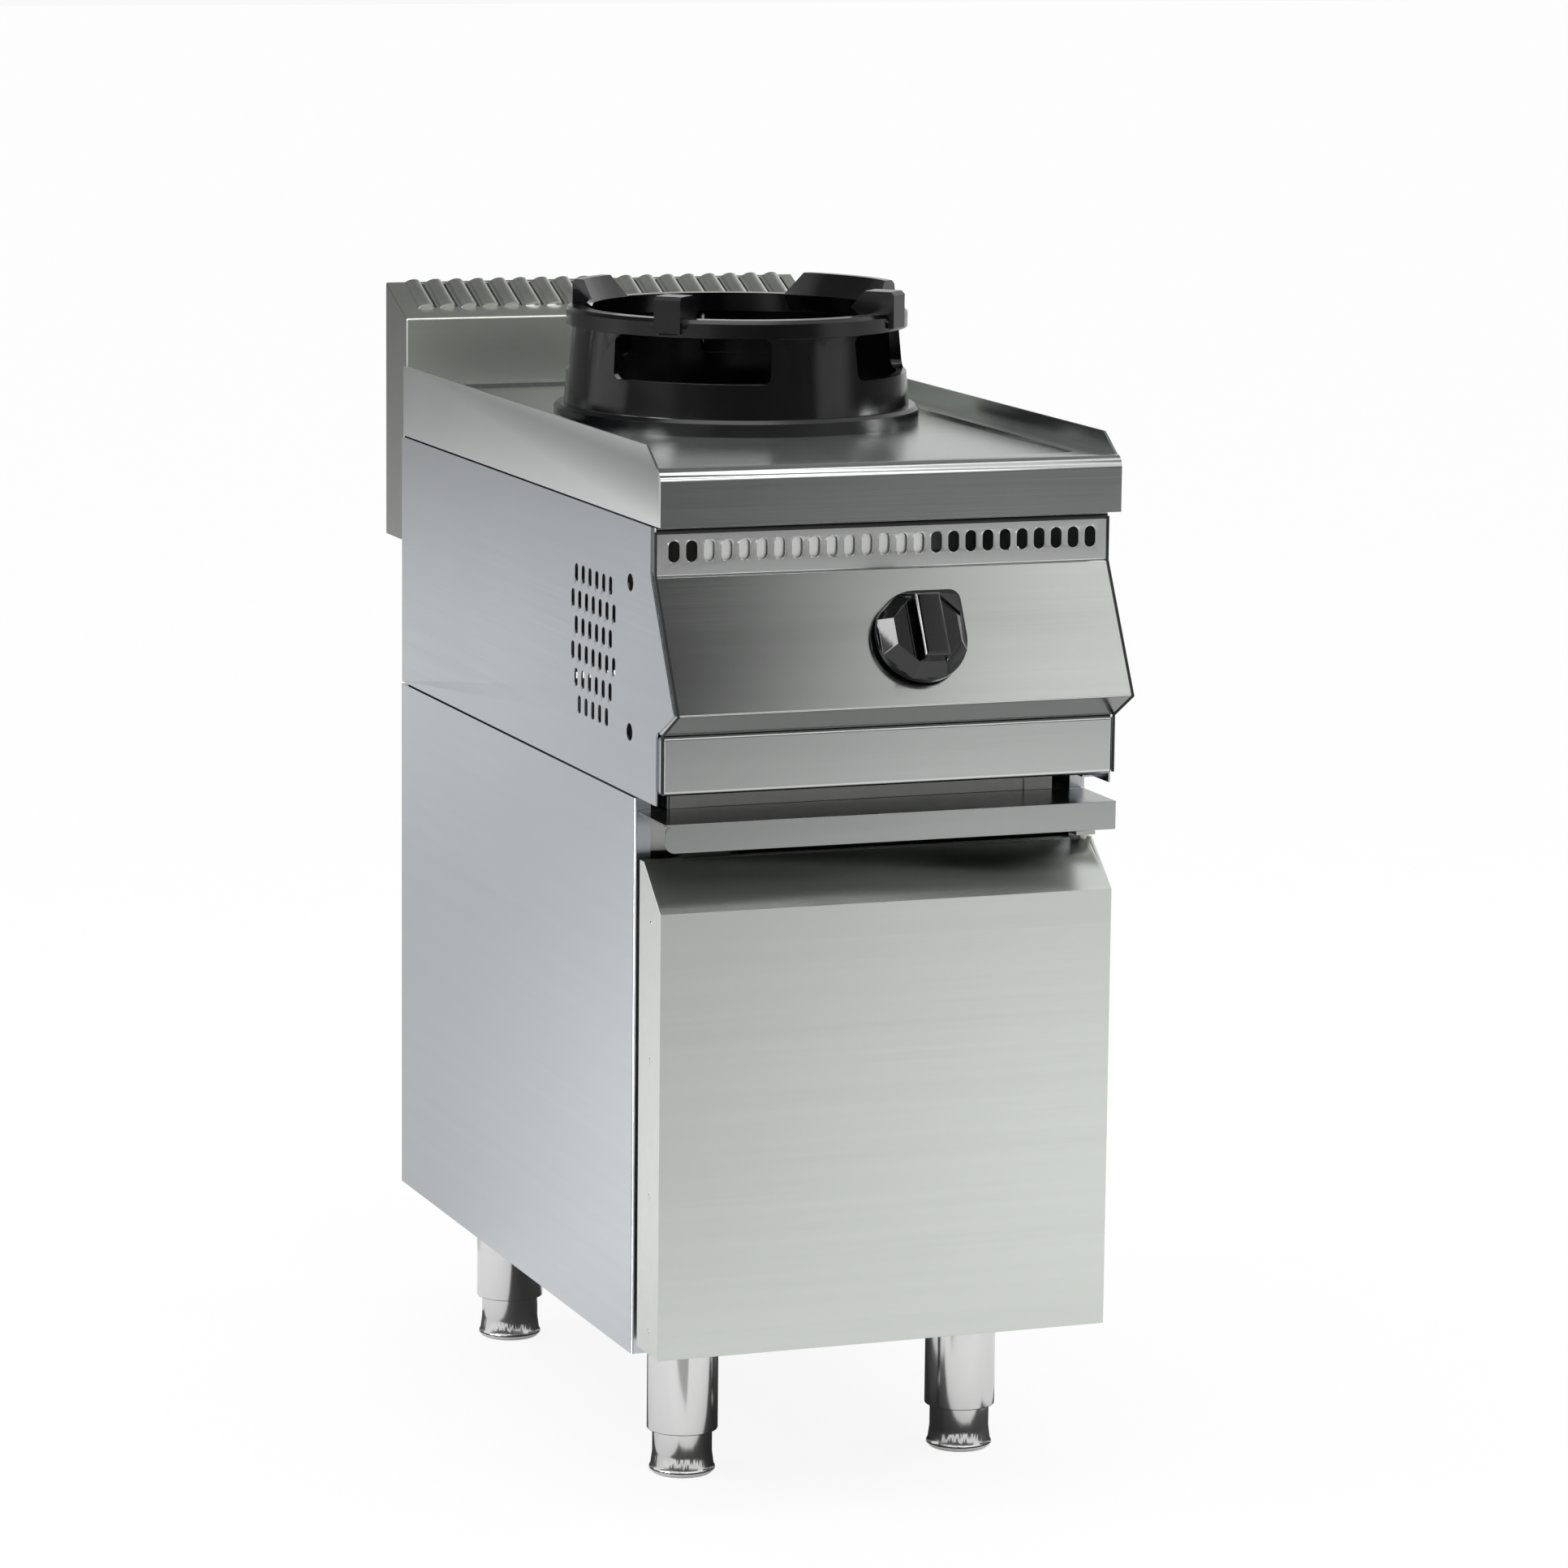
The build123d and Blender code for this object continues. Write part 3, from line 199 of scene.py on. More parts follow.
floor_reach = (-30.0, 30.0)
seen_white, mirrored_white, sky_strength = 0.9, 0.22, 0.95
pale = Finish("pale_floor")
speckle = pale.mix(pale.noise(9.0), (0.86, 0.86, 0.86), (0.90, 0.90, 0.90))
seen, mirrored, through = (pale.node("ShaderNodeLightPath", output=ray) for ray in (0, 3, 6))
share = seen * seen_white + (mirrored + through) * mirrored_white
lit = pale.node("ShaderNodeBsdfDiffuse", {}, {"Color": speckle})
pale.end(pale.node("ShaderNodeMixShader", {}, {0: share, 1: lit, 2: pale.glow(1.0)}))
flat_panel("studio_floor", rectangle(floor_reach, floor_reach, 0), pale.material)

world = bpy.data.worlds.new("studio_sky")
world.use_nodes = True
sky = world.node_tree.nodes["Background"].inputs
sky["Color"].default_value = (1, 1, 1, 1)
sky["Strength"].default_value = sky_strength
bpy.context.scene.world = world
bpy.context.scene.view_settings.view_transform = "Standard"


def gloss_panel(name, corners, material):
    """A panel of the studio that shows only in gloss."""
    made = flat_panel(name, corners, material)
    made.visible_camera = made.visible_diffuse = made.visible_shadow = made.visible_transmission = False


def grey_card(name, corners, near, far, run, start, end):
    """A card whose grey goes from near to far between two distances along a run."""
    card = Finish(name)
    along = card.node("ShaderNodeVectorMath", {"operation": "DOT_PRODUCT"}, {0: card.place, 1: run}, 1)
    share = card.band(along + (card.noise(3.0) * 0.06 - 0.03), start, end)
    card.surface({"Base Color": card.mix(share, (near,) * 3, (far,) * 3), "Roughness": 0.9})
    gloss_panel(name, corners, card.material)


# Cards on the ground lie along the view's own bearing, so each greys one height of the upright sheets.
# Ahead is towards the camera's side of the range and is negative behind it; beside is across that.
ahead = Vector((math.sin(-azimuth), -math.cos(azimuth), 0))
beside = Vector((math.cos(azimuth), math.sin(-azimuth), 0))
card_height, leg_card_height = 0.004, 0.006


def laid(places, height):
    """Corners on the ground, from pairs of distances beside the view's bearing and ahead on it."""
    return [tuple(w * beside + r * ahead + Vector((0, 0, height))) for w, r in places]


def ground_card(name, width, reach, near, far, run=beside, start=-0.34, end=0.04):
    """A grey card on the ground, between two distances beside the view's bearing and two ahead."""
    places = [(width[a], reach[b]) for a, b in ((0, 0), (1, 0), (1, 1), (0, 1))]
    grey_card(name, laid(places, card_height), near, far, tuple(run), start, end)


wide, front_width, side_width = (-9, 3), (-1.6, 1.0), (-1.6, 0.6)
ground_card("far_front_ground", wide, (5.25, 30), 0.12, 0.06, ahead, 5.2, 5.6)
ground_card("strip_ground", wide, (4.5, 5.25), 0.08, 0.7, start=-0.3)
ground_card("fascia_ground", front_width, (3.95, 4.5), 0.35, 1.0)
ground_card("tray_ground", front_width, (3.6, 3.95), 0.2, 1.0)
ground_card("door_ground", front_width, (1.05, 3.3), 0.68, 1.0)
ground_card("side_near_ground", side_width, (-3.0, -0.6), 1.0, 0.62, end=-0.05)
ground_card("side_middle_ground", side_width, (-4.0, -3.0), 0.60, 0.8, end=-0.05)
ground_card("side_far_ground", side_width, (-5.2, -4.0), 0.62, 1.0, end=-0.15)
ground_card("rear_ground", (-9, 9), (-30, -5.2), 1.0, 0.25, ahead, -6.0, -7.8)
# Painted shadow: the leg card and shade_below are darker patches where the floor lies in the range's shade,
# for the legs to mirror.
leg_places = [(-0.85, 0.37), (-0.31, 0.37), (-0.34, 0.55), (-0.62, 0.85), (-0.85, 0.85)]
grey_card("leg_ground", laid(leg_places, leg_card_height), 0.35, 0.4, (1, 0, 0), -0.9, 0.0)
for name, x, y, z, near, far, run, start, end in (
    ("shade_below", (-0.19, 0.26), (-0.32, 0.33), 0.005, 0.05, 0.1, (0, 1, 0), -0.3, 0.3),
    ("front_wall", (-9, 5), -7, (0.3, 2.4), 0.10, 0.16, (1, 0, 0), 0.0, 3.0),
    ("left_wall", -9, (-7, 1.5), (0.3, 2.4), 0.10, 0.16, (0, 1, 0), -7.0, 1.5),
    ("right_wall", 9, (-5, 7), (0.3, 3.4), 0.12, 0.2, (0, 1, 0), -5.0, 7.0),
    ("rear_wall", (-7, 8), 7, (0.0, 6.0), 0.2, 0.8, (1, 0, 0), -1.0, 3.0),
    ("front_ceiling", (-1.9, 1.3), (-3.5, -1.5), 2.6, 0.0, 1.0, (1, 0, 0), 0.7, 1.2),
    ("rear_ceiling", (-2.5, 1.5), (0.3, 3.4), 2.6, 0.12, 0.3, (1, 0, 0), 0.5, 1.5),
):
    grey_card(name, rectangle(x, y, z), near, far, run, start, end)

# Windows: two bright panes that draw the highlights on the knob and the castings.
for name, x, y, z, strength in (
    ("left_window", -3.4, (-1.5, -0.6), (1.6, 3.0), 22.0),
    ("front_window", (-3, 5.5), -7, (2.4, 4.4), 1.4),
):
    pane = Finish(name)
    clouds = pane.noise(2.0) * 0.3 + 0.85
    gloss_panel(name, rectangle(x, y, z), pane.end(pane.glow(clouds * strength)))


def soft_lamp(name, at, towards, width, height, strength):
    """A soft box: a rectangular lamp that gives this radiance."""
    data = bpy.data.lights.new(name, "AREA")
    data.shape = "RECTANGLE"
    data.size, data.size_y = width, height
    data.energy = strength * math.pi * width * height
    lamp = bpy.data.objects.new(name, data)
    lamp.location = at
    lamp.rotation_euler = (Vector(towards) - Vector(at)).to_track_quat("-Z", "Y").to_euler()
    lamp.visible_camera = False
    bpy.context.collection.objects.link(lamp)


soft_lamp("top_lamp", (-0.2, -0.6, 3.2), (-0.1, -0.4, 0.6), width=3.0, height=0.9, strength=1.9)
soft_lamp("left_lamp", (-3.5, 0.4, 2.3), (0, -0.2, 0.7), width=0.8, height=1.3, strength=9.5)
soft_lamp("right_lamp", (3.4, -0.4, 2.7), (0, -0.2, 0.7), width=0.6, height=0.9, strength=16.0)


# Cabinet: two folded sides, a back, a floor pan and rails, all of stainless sheet.
# The visible sides are brushed from front to back, and the folds keep a small outer radius.
fold_radius, cut_rim = 0.0012, 0.0003
x_axis, y_axis = 0, 1


def brushed_steel(
    name, grain, colour, gloss=0.22, stretch=0.8, depth=0.000003, underside_shade=1.0, flank_paint_and_roughness=(1.0, 0.0), tops=0.0
):
    """Stainless sheet brushed along one axis, with fine scratches, slower streaks and faint smudges.

    Faces that look down are darkened to this share of the colour, as painted shade. Faces that look
    sideways are painted lighter or darker by a share of the colour, and get some extra roughness;
    those that look up get only the latter.
    """
    steel = Finish(name)
    lines, streaks = [900.0] * 3, [120.0] * 3
    lines[grain], streaks[grain] = 5.0, 1.5
    fine = steel.noise(lines, 3.0, 0.6)
    slow = steel.noise(streaks, 2.0)
    smudge = steel.noise(4.0, 3.0)
    light = steel.mix(slow, tuple(0.94 * c for c in colour), tuple(1.04 * c for c in colour))
    rough = (gloss - 0.05) + fine * 0.05 + smudge * 0.05
    facing = steel.node("ShaderNodeTexCoord", output=1)
    sideways = steel.node("ShaderNodeSeparateXYZ", {}, {0: facing}, 0)
    upward = steel.node("ShaderNodeSeparateXYZ", {}, {0: facing}, 2)
    # Painted shade: faces that look down are darkened to this share of the colour.
    if underside_shade < 1.0:
        light = steel.mix(steel.band(upward, -0.25, -0.5), light, tuple(underside_shade * c for c in colour))
    # Painted light and shade: faces that look sideways take this share of the colour, lighter above 1 and
    # darker below, with some extra roughness.
    if flank_paint_and_roughness != (1.0, 0.0):
        flank = steel.band(sideways * sideways, 0.3, 0.6)
        light = steel.mix(flank, light, tuple(flank_paint_and_roughness[0] * c for c in colour))
        rough = rough + flank * flank_paint_and_roughness[1]
    if tops:
        rough = rough + steel.band(upward, 0.9, 0.98) * tops
    inputs = {
        "Base Color": light,
        "Metallic": 1.0,
        "Roughness": rough,
        "Anisotropic": stretch,
        "Anisotropic Rotation": 0.25,
    }
    return steel.surface(inputs, fine * 0.7 + slow * 0.3 if depth else None, depth)


def face_width(face):
    """About how wide a face is, across its longest side."""
    return face.calc_area() / max(edge.calc_length() for edge in face.edges)


def merged_mesh(node, joined=True):
    """A CAD node's mesh with its doubles merged and, unless it is punched, its flat faces joined."""
    work = bmesh.new()
    work.from_mesh(frame["nodes"][node].data)
    bmesh.ops.remove_doubles(work, verts=work.verts, dist=0.000002)
    if joined:
        flat = math.radians(1.0)
        bmesh.ops.dissolve_limit(work, angle_limit=flat, verts=work.verts, edges=work.edges)
    return work


def is_sharp(edge, turn):
    """Whether an edge between two faces bends by more than this turn."""
    return len(edge.link_faces) == 2 and edge.calc_face_angle() > turn


def bevelled(work, edges, radius, segments):
    """Rounds these edges by a radius, or by less where they stand close."""
    if edges and radius:
        limits = {"profile": 0.5, "affect": "EDGES", "clamp_overlap": True}
        bmesh.ops.bevel(work, geom=edges, offset=radius, segments=segments, **limits)


def round_edges(work, radius, rim, narrow=0.0035, corner=25.0):
    """Rounds the folds to a radius and the sheet's cut rims to a smaller one."""
    folds, rims = [], []
    for edge in work.edges:
        if is_sharp(edge, math.radians(corner)) and edge.is_convex:
            beside_fold = min(face_width(face) for face in edge.link_faces) > narrow
            (folds if beside_fold else rims).append(edge)
    bevelled(work, folds, radius, 4)
    bevelled(work, [e for e in rims if e.is_valid], rim, 2)


def round_slots(work, across, radius, thickness=0.002, corner=25.0):
    """Rounds the corners of punched slots: short hollow edges that run through the sheet on an axis."""
    corners = []
    for edge in work.edges:
        run = edge.verts[1].co - edge.verts[0].co
        through = abs(run[across]) > 0.98 * run.length and run.length < thickness
        if through and is_sharp(edge, math.radians(corner)) and not edge.is_convex:
            corners.append(edge)
    bevelled(work, corners, radius, 4)


def plain_mesh(made):
    """The mesh that an object gives once its modifiers or its curve have been worked out."""
    bpy.context.view_layer.update()
    graph = bpy.context.evaluated_depsgraph_get()
    worked = made.evaluated_get(graph)
    return bpy.data.meshes.new_from_object(worked, preserve_all_data_layers=True, depsgraph=graph)


def settled(made):
    """Replaces an object's modifiers by the plain mesh that they give."""
    mesh = plain_mesh(made)
    made.modifiers.clear()
    made.data = mesh


def smooth_mesh(name, work, material, crease=None):
    """Ends a worked mesh in one material, shaded smooth up to a crease where one is given."""
    mesh = bpy.data.meshes.new(name)
    work.to_mesh(mesh)
    work.free()
    mesh.materials.clear()
    mesh.materials.append(material)
    mesh.polygons.foreach_set("material_index", [0] * len(mesh.polygons))
    if crease:
        mesh.shade_smooth()
        mesh.set_sharp_from_angle(angle=math.radians(crease))
    return mesh


def fixed_to(body, made, nodes=()):
    """Lets a finished object ride on a body, in place of the CAD nodes that are named."""
    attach(made, body)
    if nodes:
        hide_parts(*nodes)


def finished_piece(name, work, material, body, nodes, crease=32.0):
    """Turns a worked mesh into a piece that rides on a body in place of its CAD nodes."""
    made = new_object(name, smooth_mesh(name, work, material, crease))
    flats = made.modifiers.new("flats_stay_flat", "WEIGHTED_NORMAL")
    flats.keep_sharp = True
    flats.weight = 100
    settled(made)
    fixed_to(body, made, nodes)


def dressed_sheet(name, node, material, body="cabinet", radius=fold_radius):
    """A CAD sheet with its folds and rims rounded."""
    work = merged_mesh(node)
    round_edges(work, radius, cut_rim)
    finished_piece(name, work, material, body, [node])


# Each stainless sheet's colour is set lighter or darker, sheet by sheet, to match how it shows: painted
# light and shade.
side_steel = brushed_steel("side_steel", y_axis, (0.52, 0.545, 0.57))
inner_steel = brushed_steel("inner_steel", y_axis, (0.50, 0.50, 0.49), gloss=0.36, stretch=0.3)
for side in ("left", "right"):
    dressed_sheet(f"{side}_cabinet_skin", f"cabinet_{side}_side", side_steel)
    dressed_sheet(f"{side}_tray_rail", f"tray_{side}_runner", inner_steel)
hidden_sheets = ("cabinet_back", "cabinet_floor", "front_rail", "rear_rail")
for node in (*hidden_sheets, "burner_supports", "injector_bracket", "module_back"):
    dressed_sheet(f"{node}_sheet", node, inner_steel)


# Screws: domed heads of plated steel with a cross recess, that hold the back panels to the sides.
# One Geometry Nodes tree makes a straight row of them; each row is turned to a plain mesh.
def even_finish(name, cells, first, second, rough, spread, depth, metallic=0.0, specular=0.5):
    """A plain material whose colour, roughness and bump all follow one noise."""
    finish = Finish(name)
    grain = finish.noise(cells)
    inputs = {
        "Base Color": finish.mix(grain, first, second),
        "Metallic": metallic,
        "Roughness": rough + grain * spread,
        "Specular IOR Level": specular,
    }
    return finish.surface(inputs, grain, depth)


zinc = even_finish(
    "plated_steel", 400.0, (0.44, 0.44, 0.43), (0.52, 0.52, 0.50),
    rough=0.32, spread=0.12, depth=0.00002, metallic=1.0,
)


def node_group(name, sizes):
    """A Geometry Nodes tree with one named input per size, and the readings of those inputs."""
    tree = bpy.data.node_groups.new(name, "GeometryNodeTree")
    tree.interface.new_socket("Geometry", in_out="OUTPUT", socket_type="NodeSocketGeometry")
    kinds = {int: "NodeSocketInt", float: "NodeSocketFloat", tuple: "NodeSocketVector"}
    for size, value in sizes.items():
        tree.interface.new_socket(size, in_out="INPUT", socket_type=kinds[type(value)])
    recipe = Recipe(tree)
    entry = tree.nodes.new("NodeGroupInput")
    return recipe, {size: Reading(recipe, entry.outputs[size]) for size in sizes}


def placed_rows(name, sizes, head, material, body):
    """A row of one small shape, from a start and by steps, as a piece of its own."""
    recipe, reading = node_group(name, sizes)
    points = recipe.node(
        "GeometryNodeMeshLine",
        {"mode": "OFFSET", "count_mode": "TOTAL"},
        {"Count": reading["Count"], "Start Location": reading["Start"], "Offset": reading["Step"]},
    )
    turned = recipe.node("FunctionNodeEulerToRotation", {}, {0: reading["Turn"]})
    row = recipe.node(
        "GeometryNodeInstanceOnPoints",
        {},
        {"Points": points, "Instance": head(recipe, reading), "Rotation": turned},
    )
    real = recipe.node("GeometryNodeRealizeInstances", {}, {"Geometry": row})
    smooth = recipe.node("GeometryNodeSetShadeSmooth", {}, {"Geometry": real})
    clothed = recipe.node("GeometryNodeSetMaterial", {}, {"Geometry": smooth, "Material": material})
    recipe.node("NodeGroupOutput", {}, {"Geometry": clothed})
    made = new_object(name, bpy.data.meshes.new(name))
    rows = made.modifiers.new(name, "NODES")
    rows.node_group = recipe.tree
    for item in recipe.tree.interface.items_tree:
        if item.in_out == "INPUT":
            rows[item.identifier] = sizes[item.name]
    settled(made)
    fixed_to(body, made)


def flattened_ball(recipe, reading, share):
    """A ball pressed to this share of its height."""
    inputs = {"Segments": 20, "Rings": 10, "Radius": reading["Radius"]}
    ball = recipe.node("GeometryNodeMeshUVSphere", {}, inputs)
    return recipe.node("GeometryNodeTransform", {}, {"Geometry": ball, "Scale": (1.0, 1.0, share)})


recess_length, recess_width, recess_depth = 0.0038, 0.0008, 0.0016
head_share = 0.45


def screw_head(recipe, reading):
    """A flattened ball with a cross cut into its crown."""
    dome = flattened_ball(recipe, reading, head_share)
    bar = recipe.node("GeometryNodeMeshCube", {}, {"Size": (recess_length, recess_width, recess_depth)})
    raised, quarter_turn = (0.0, 0.0, recess_depth), (0.0, 0.0, math.pi / 2)
    one_way = recipe.node("GeometryNodeTransform", {}, {"Geometry": bar, "Translation": raised})
    other_way = recipe.node("GeometryNodeTransform", {}, {"Geometry": one_way, "Rotation": quarter_turn})
    cut = {"operation": "DIFFERENCE"}
    for cutter in (one_way, other_way):
        dome = recipe.node("GeometryNodeMeshBoolean", cut, {"Mesh 1": dome, "Mesh 2": cutter})
    return dome


screw_margin, screw_inset, screw_radius = 0.022, 0.010, 0.0036
for node, count in (("cabinet_back", 5), ("module_back", 3)):
    low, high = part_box(node)
    rise = (high.z - low.z - 2 * screw_margin) / (count - 1)
    for side, place in (("left", low.x + screw_inset), ("right", high.x - screw_inset)):
        sizes = {
            "Count": count,
            "Start": (place, high.y, low.z + screw_margin),
            "Step": (0.0, 0.0, rise),
            "Turn": (-math.pi / 2, 0.0, 0.0),
            "Radius": screw_radius,
        }
        placed_rows(f"{node}_{side}_screws", sizes, screw_head, zinc, "cabinet")

# Door: one folded stainless sheet with its top sloped back as a finger grip, brushed across.
# A plain liner closes its rear, and four spot welds show on the left return.
door_steel = brushed_steel("door_steel", x_axis, (0.59, 0.612, 0.585), stretch=0.6, depth=0.000001)
dressed_sheet("door_skin", "door_shell", door_steel, "door", radius=0.0016)
dressed_sheet("door_inner_panel", "door_liner", inner_steel, "door")
weld_share = 0.16
weld_inset, weld_lowest, weld_rise, weld_radius = 0.024, 0.155, 0.1133, 0.0026


def weld_spot(recipe, reading):
    """The mark of a spot weld: a ball pressed nearly flat."""
    return flattened_ball(recipe, reading, weld_share)


shell_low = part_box("door_shell")[0]
spots = {
    "Count": 4,
    "Start": (shell_low.x, shell_low.y + weld_inset, weld_lowest),
    "Step": (0.0, 0.0, weld_rise),
    "Turn": (0.0, -math.pi / 2, 0.0),
    "Radius": weld_radius,
}
placed_rows("door_weld_spots", spots, weld_spot, door_steel, "door")

# Upper module: two sides punched with staggered air slots, and a strip of upright slots across its front.
# All are folded from brushed stainless sheet and fixed on the cabinet.
side_slot_corner, strip_slot_corner = 0.003, 0.0018
for side in ("left", "right"):
    work = merged_mesh(f"module_{side}_side", joined=False)
    round_slots(work, x_axis, side_slot_corner)
    round_edges(work, fold_radius, cut_rim)
    name, node = f"{side}_module_skin", f"module_{side}_side"
    finished_piece(name, work, side_steel, "cabinet", [node])
work = merged_mesh("vent_strip", joined=False)
round_slots(work, y_axis, strip_slot_corner)
round_edges(work, fold_radius, 2 * cut_rim)
strip_steel = brushed_steel(
    "strip_steel", x_axis, (0.66, 0.67, 0.66), gloss=0.25, stretch=0.5, depth=0.000002
)
finished_piece("slotted_strip", work, strip_steel, "cabinet", ["vent_strip"])

# Baffle: a near-white flat sheet close behind the left half of the slots, whose colour paints the light seen
# through them.
# It shows as light slots at the left, while those at the right stay dark.
baffle_steel = brushed_steel("baffle_steel", x_axis, (0.93, 0.94, 0.92), gloss=0.34, stretch=0.5)
strip_low, strip_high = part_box("vent_strip")
baffle_margin, baffle_gap, baffle_sheet, baffle_corner = 0.0025, 0.0035, 0.0008, 0.004
baffle_inset, baffle_right = 0.041, 0.036
baffle_low = Vector((strip_low.x + baffle_inset, strip_low.y + baffle_gap, strip_low.z + baffle_margin))
baffle_high = Vector((baffle_right, baffle_low.y + baffle_sheet, strip_high.z - baffle_margin))
plate = bmesh.new()
bmesh.ops.create_cube(plate, size=1.0)
for vertex in plate.verts:
    vertex.co = [(a + b) / 2 + share * (b - a) for a, b, share in zip(baffle_low, baffle_high, vertex.co)]
corners = [e for e in plate.edges if abs(e.verts[0].co.y - e.verts[1].co.y) > baffle_sheet / 2]
bevelled(plate, corners, baffle_corner, 4)
baffle = new_object("slot_baffle", smooth_mesh("slot_baffle", plate, baffle_steel))
fixed_to("cabinet", baffle)

# Control panel and fascia: the sloped sheet that carries the knob, and the upright sheet under it.
# Both are folded from brushed stainless, with painted shade darkening their undersides; the knob hides the
# panel's hole.
panel_steel = brushed_steel(
    "panel_steel", x_axis, (0.61, 0.625, 0.61), gloss=0.15, stretch=0.5, depth=0.000001, underside_shade=0.22
)
front_steel = brushed_steel(
    "front_steel", x_axis, (0.56, 0.575, 0.565), gloss=0.18, stretch=0.5, depth=0.000001, underside_shade=0.45
)
dressed_sheet("sloped_panel", "control_panel", panel_steel, radius=0.0016)
dressed_sheet("fascia_skin", "lower_fascia", front_steel, radius=0.004)

# Shadow beads: black beads run under the worktop's apron and down both ends of the strip and the panel, as
# painted shadow in those joints.
# Each is a smooth round bead pressed into the joint, a little proud of the sheets.
shadow_black = even_finish(
    "black_silicone", (300.0, 300.0, 60.0), (0.004, 0.004, 0.005), (0.009, 0.009, 0.01),
    rough=0.45, spread=0.15, depth=0.00004,
)


def bead(name, points, radius, squeeze=1.0):
    """A round bead along straight runs between points, squeezed in depth by this share."""
    line = bpy.data.curves.new(name, "CURVE")
    line.dimensions = "3D"
    line.bevel_depth, line.bevel_resolution, line.use_fill_caps = radius, 3, True
    run = line.splines.new("POLY")
    run.points.add(len(points) - 1)
    for spot, point in zip(run.points, points):
        spot.co = (*point, 1.0)
    maker = bpy.data.objects.new(name, line)
    bpy.context.collection.objects.link(maker)
    mesh = plain_mesh(maker)
    bpy.data.objects.remove(maker)
    for vertex in mesh.vertices:
        vertex.co.y = points[0][1] + (vertex.co.y - points[0][1]) * squeeze
    mesh.materials.clear()
    mesh.materials.append(shadow_black)
    mesh.shade_smooth()
    fixed_to("cabinet", new_object(name, mesh))


fascia_low, fascia_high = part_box("lower_fascia")
panel_lean, panel_drop = 0.0579, 0.1051
apron_bead_radius, end_bead_radius, apron_clearance = 0.0022, 0.0013, 0.0034
apron_end, end_inset, bottom_inset, apron_squeeze = 0.001, 0.0004, 0.002, 0.5
bead_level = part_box("worktop")[0].z - apron_clearance - apron_bead_radius
run = [(x, strip_low.y, bead_level) for x in (strip_low.x + apron_end, strip_high.x - apron_end)]
bead("apron_bead", run, apron_bead_radius, apron_squeeze)
for side, x in (("left", strip_low.x + end_inset), ("right", strip_high.x - end_inset)):
    run = [
        (x, strip_low.y, bead_level),
        (x, strip_low.y, strip_low.z),
        (x, strip_low.y - panel_lean, strip_low.z - panel_drop),
        (x, fascia_low.y, fascia_high.z),
        (x, fascia_low.y, fascia_low.z + bottom_inset),
    ]
    bead(f"{side}_panel_bead", run, end_bead_radius)

# Worktop and flue: a pressed stainless top with deep edges and a sunken well, and the folded flue behind.
# The top's front nose has a large radius, and the flue's sloped crown carries a row of pressed louvres.
# Painted light and shade: the worktop's sideways faces are painted half again as light, and the flue's steel
# is paler than the others, with its sideways faces painted darker.
top_steel = brushed_steel(
    "top_steel", x_axis, (0.56, 0.58, 0.57), gloss=0.15, stretch=0.6, depth=0.0, flank_paint_and_roughness=(1.5, 0.03), tops=0.1
)
flue_steel = brushed_steel(
    "flue_steel", x_axis, (0.74, 0.76, 0.71), gloss=0.32, stretch=0.3, depth=0.000001, flank_paint_and_roughness=(0.42, 0.0)
)
nose_radius, sheet, nose_length, nose_turn = 0.011, 0.0012, 0.3, 1.0
apron_middle, level_slack, depth_slack = 0.02, 0.00001, 0.0003
worktop_edge = 0.002
work = merged_mesh("worktop")
worktop_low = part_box("worktop")[0]
for depth, radius in ((0.0, nose_radius), (sheet, nose_radius - sheet)):
    nose = []
    for edge in work.edges:
        first, second = (v.co for v in edge.verts)
        level = abs(first.y - second.y) + abs(first.z - second.z) < level_slack
        foremost = abs(first.y - worktop_low.y - depth) < depth_slack
        if level and foremost and first.z > worktop_low.z + apron_middle:
            if edge.calc_length() > nose_length and is_sharp(edge, nose_turn):
                nose.append(edge)
    bevelled(work, nose, radius, 8)
round_edges(work, worktop_edge, cut_rim, corner=32.0)
finished_piece("pressed_worktop", work, top_steel, "cabinet", ["worktop"])
dressed_sheet("flue_skin", "flue", flue_steel, radius=0.0015)

# Drip tray: a folded stainless sheet with a deep front lip, and the low walls welded on to make its pan.
# It slides in the gap between the module and the door, and both pieces ride on its own body.
# Painted shade: the tray's steel is darker than the other sheets, with its sideways faces darker still and
# its underside at half.
tray_steel = brushed_steel(
    "tray_steel",
    x_axis,
    (0.39, 0.405, 0.395),
    gloss=0.18,
    stretch=0.4,
    depth=0.000001,
    underside_shade=0.5,
    flank_paint_and_roughness=(0.3, 0.1),
)
dressed_sheet("tray_sheet", "drip_tray", tray_steel, "drip_tray", radius=0.0018)
dressed_sheet("tray_pan_walls", "tray_walls", inner_steel, "drip_tray")

# Wok stand, burner and cap: iron castings under black enamel.
# The enamel is smooth to the eye, a little wavy, and softens every edge of the casting.
cast_edge, cast_crease = 0.0018, 40.0
enamel = Finish("black_enamel")
grit = enamel.noise(900.0, 3.0)
swell = enamel.noise(60.0)
enamel.surface(
    {
        "Base Color": enamel.mix(swell, (0.0005, 0.0005, 0.001), (0.0015, 0.0015, 0.0025)),
        "Roughness": 0.15 + swell * 0.05,
        "Specular IOR Level": 0.45,
    },
    grit * 0.4 + swell * 0.6,
    0.00006,
)
for name, node, body in (
    ("cast_stand", "wok_stand", "wok_stand"),
    ("burner_casting", "burner_body", "cabinet"),
    ("burner_lid", "burner_cap", "burner_cap"),
):
    work = merged_mesh(node)
    round_edges(work, cast_edge, 0.0, narrow=0.0)
    finished_piece(name, work, enamel.material, body, [node], cast_crease)

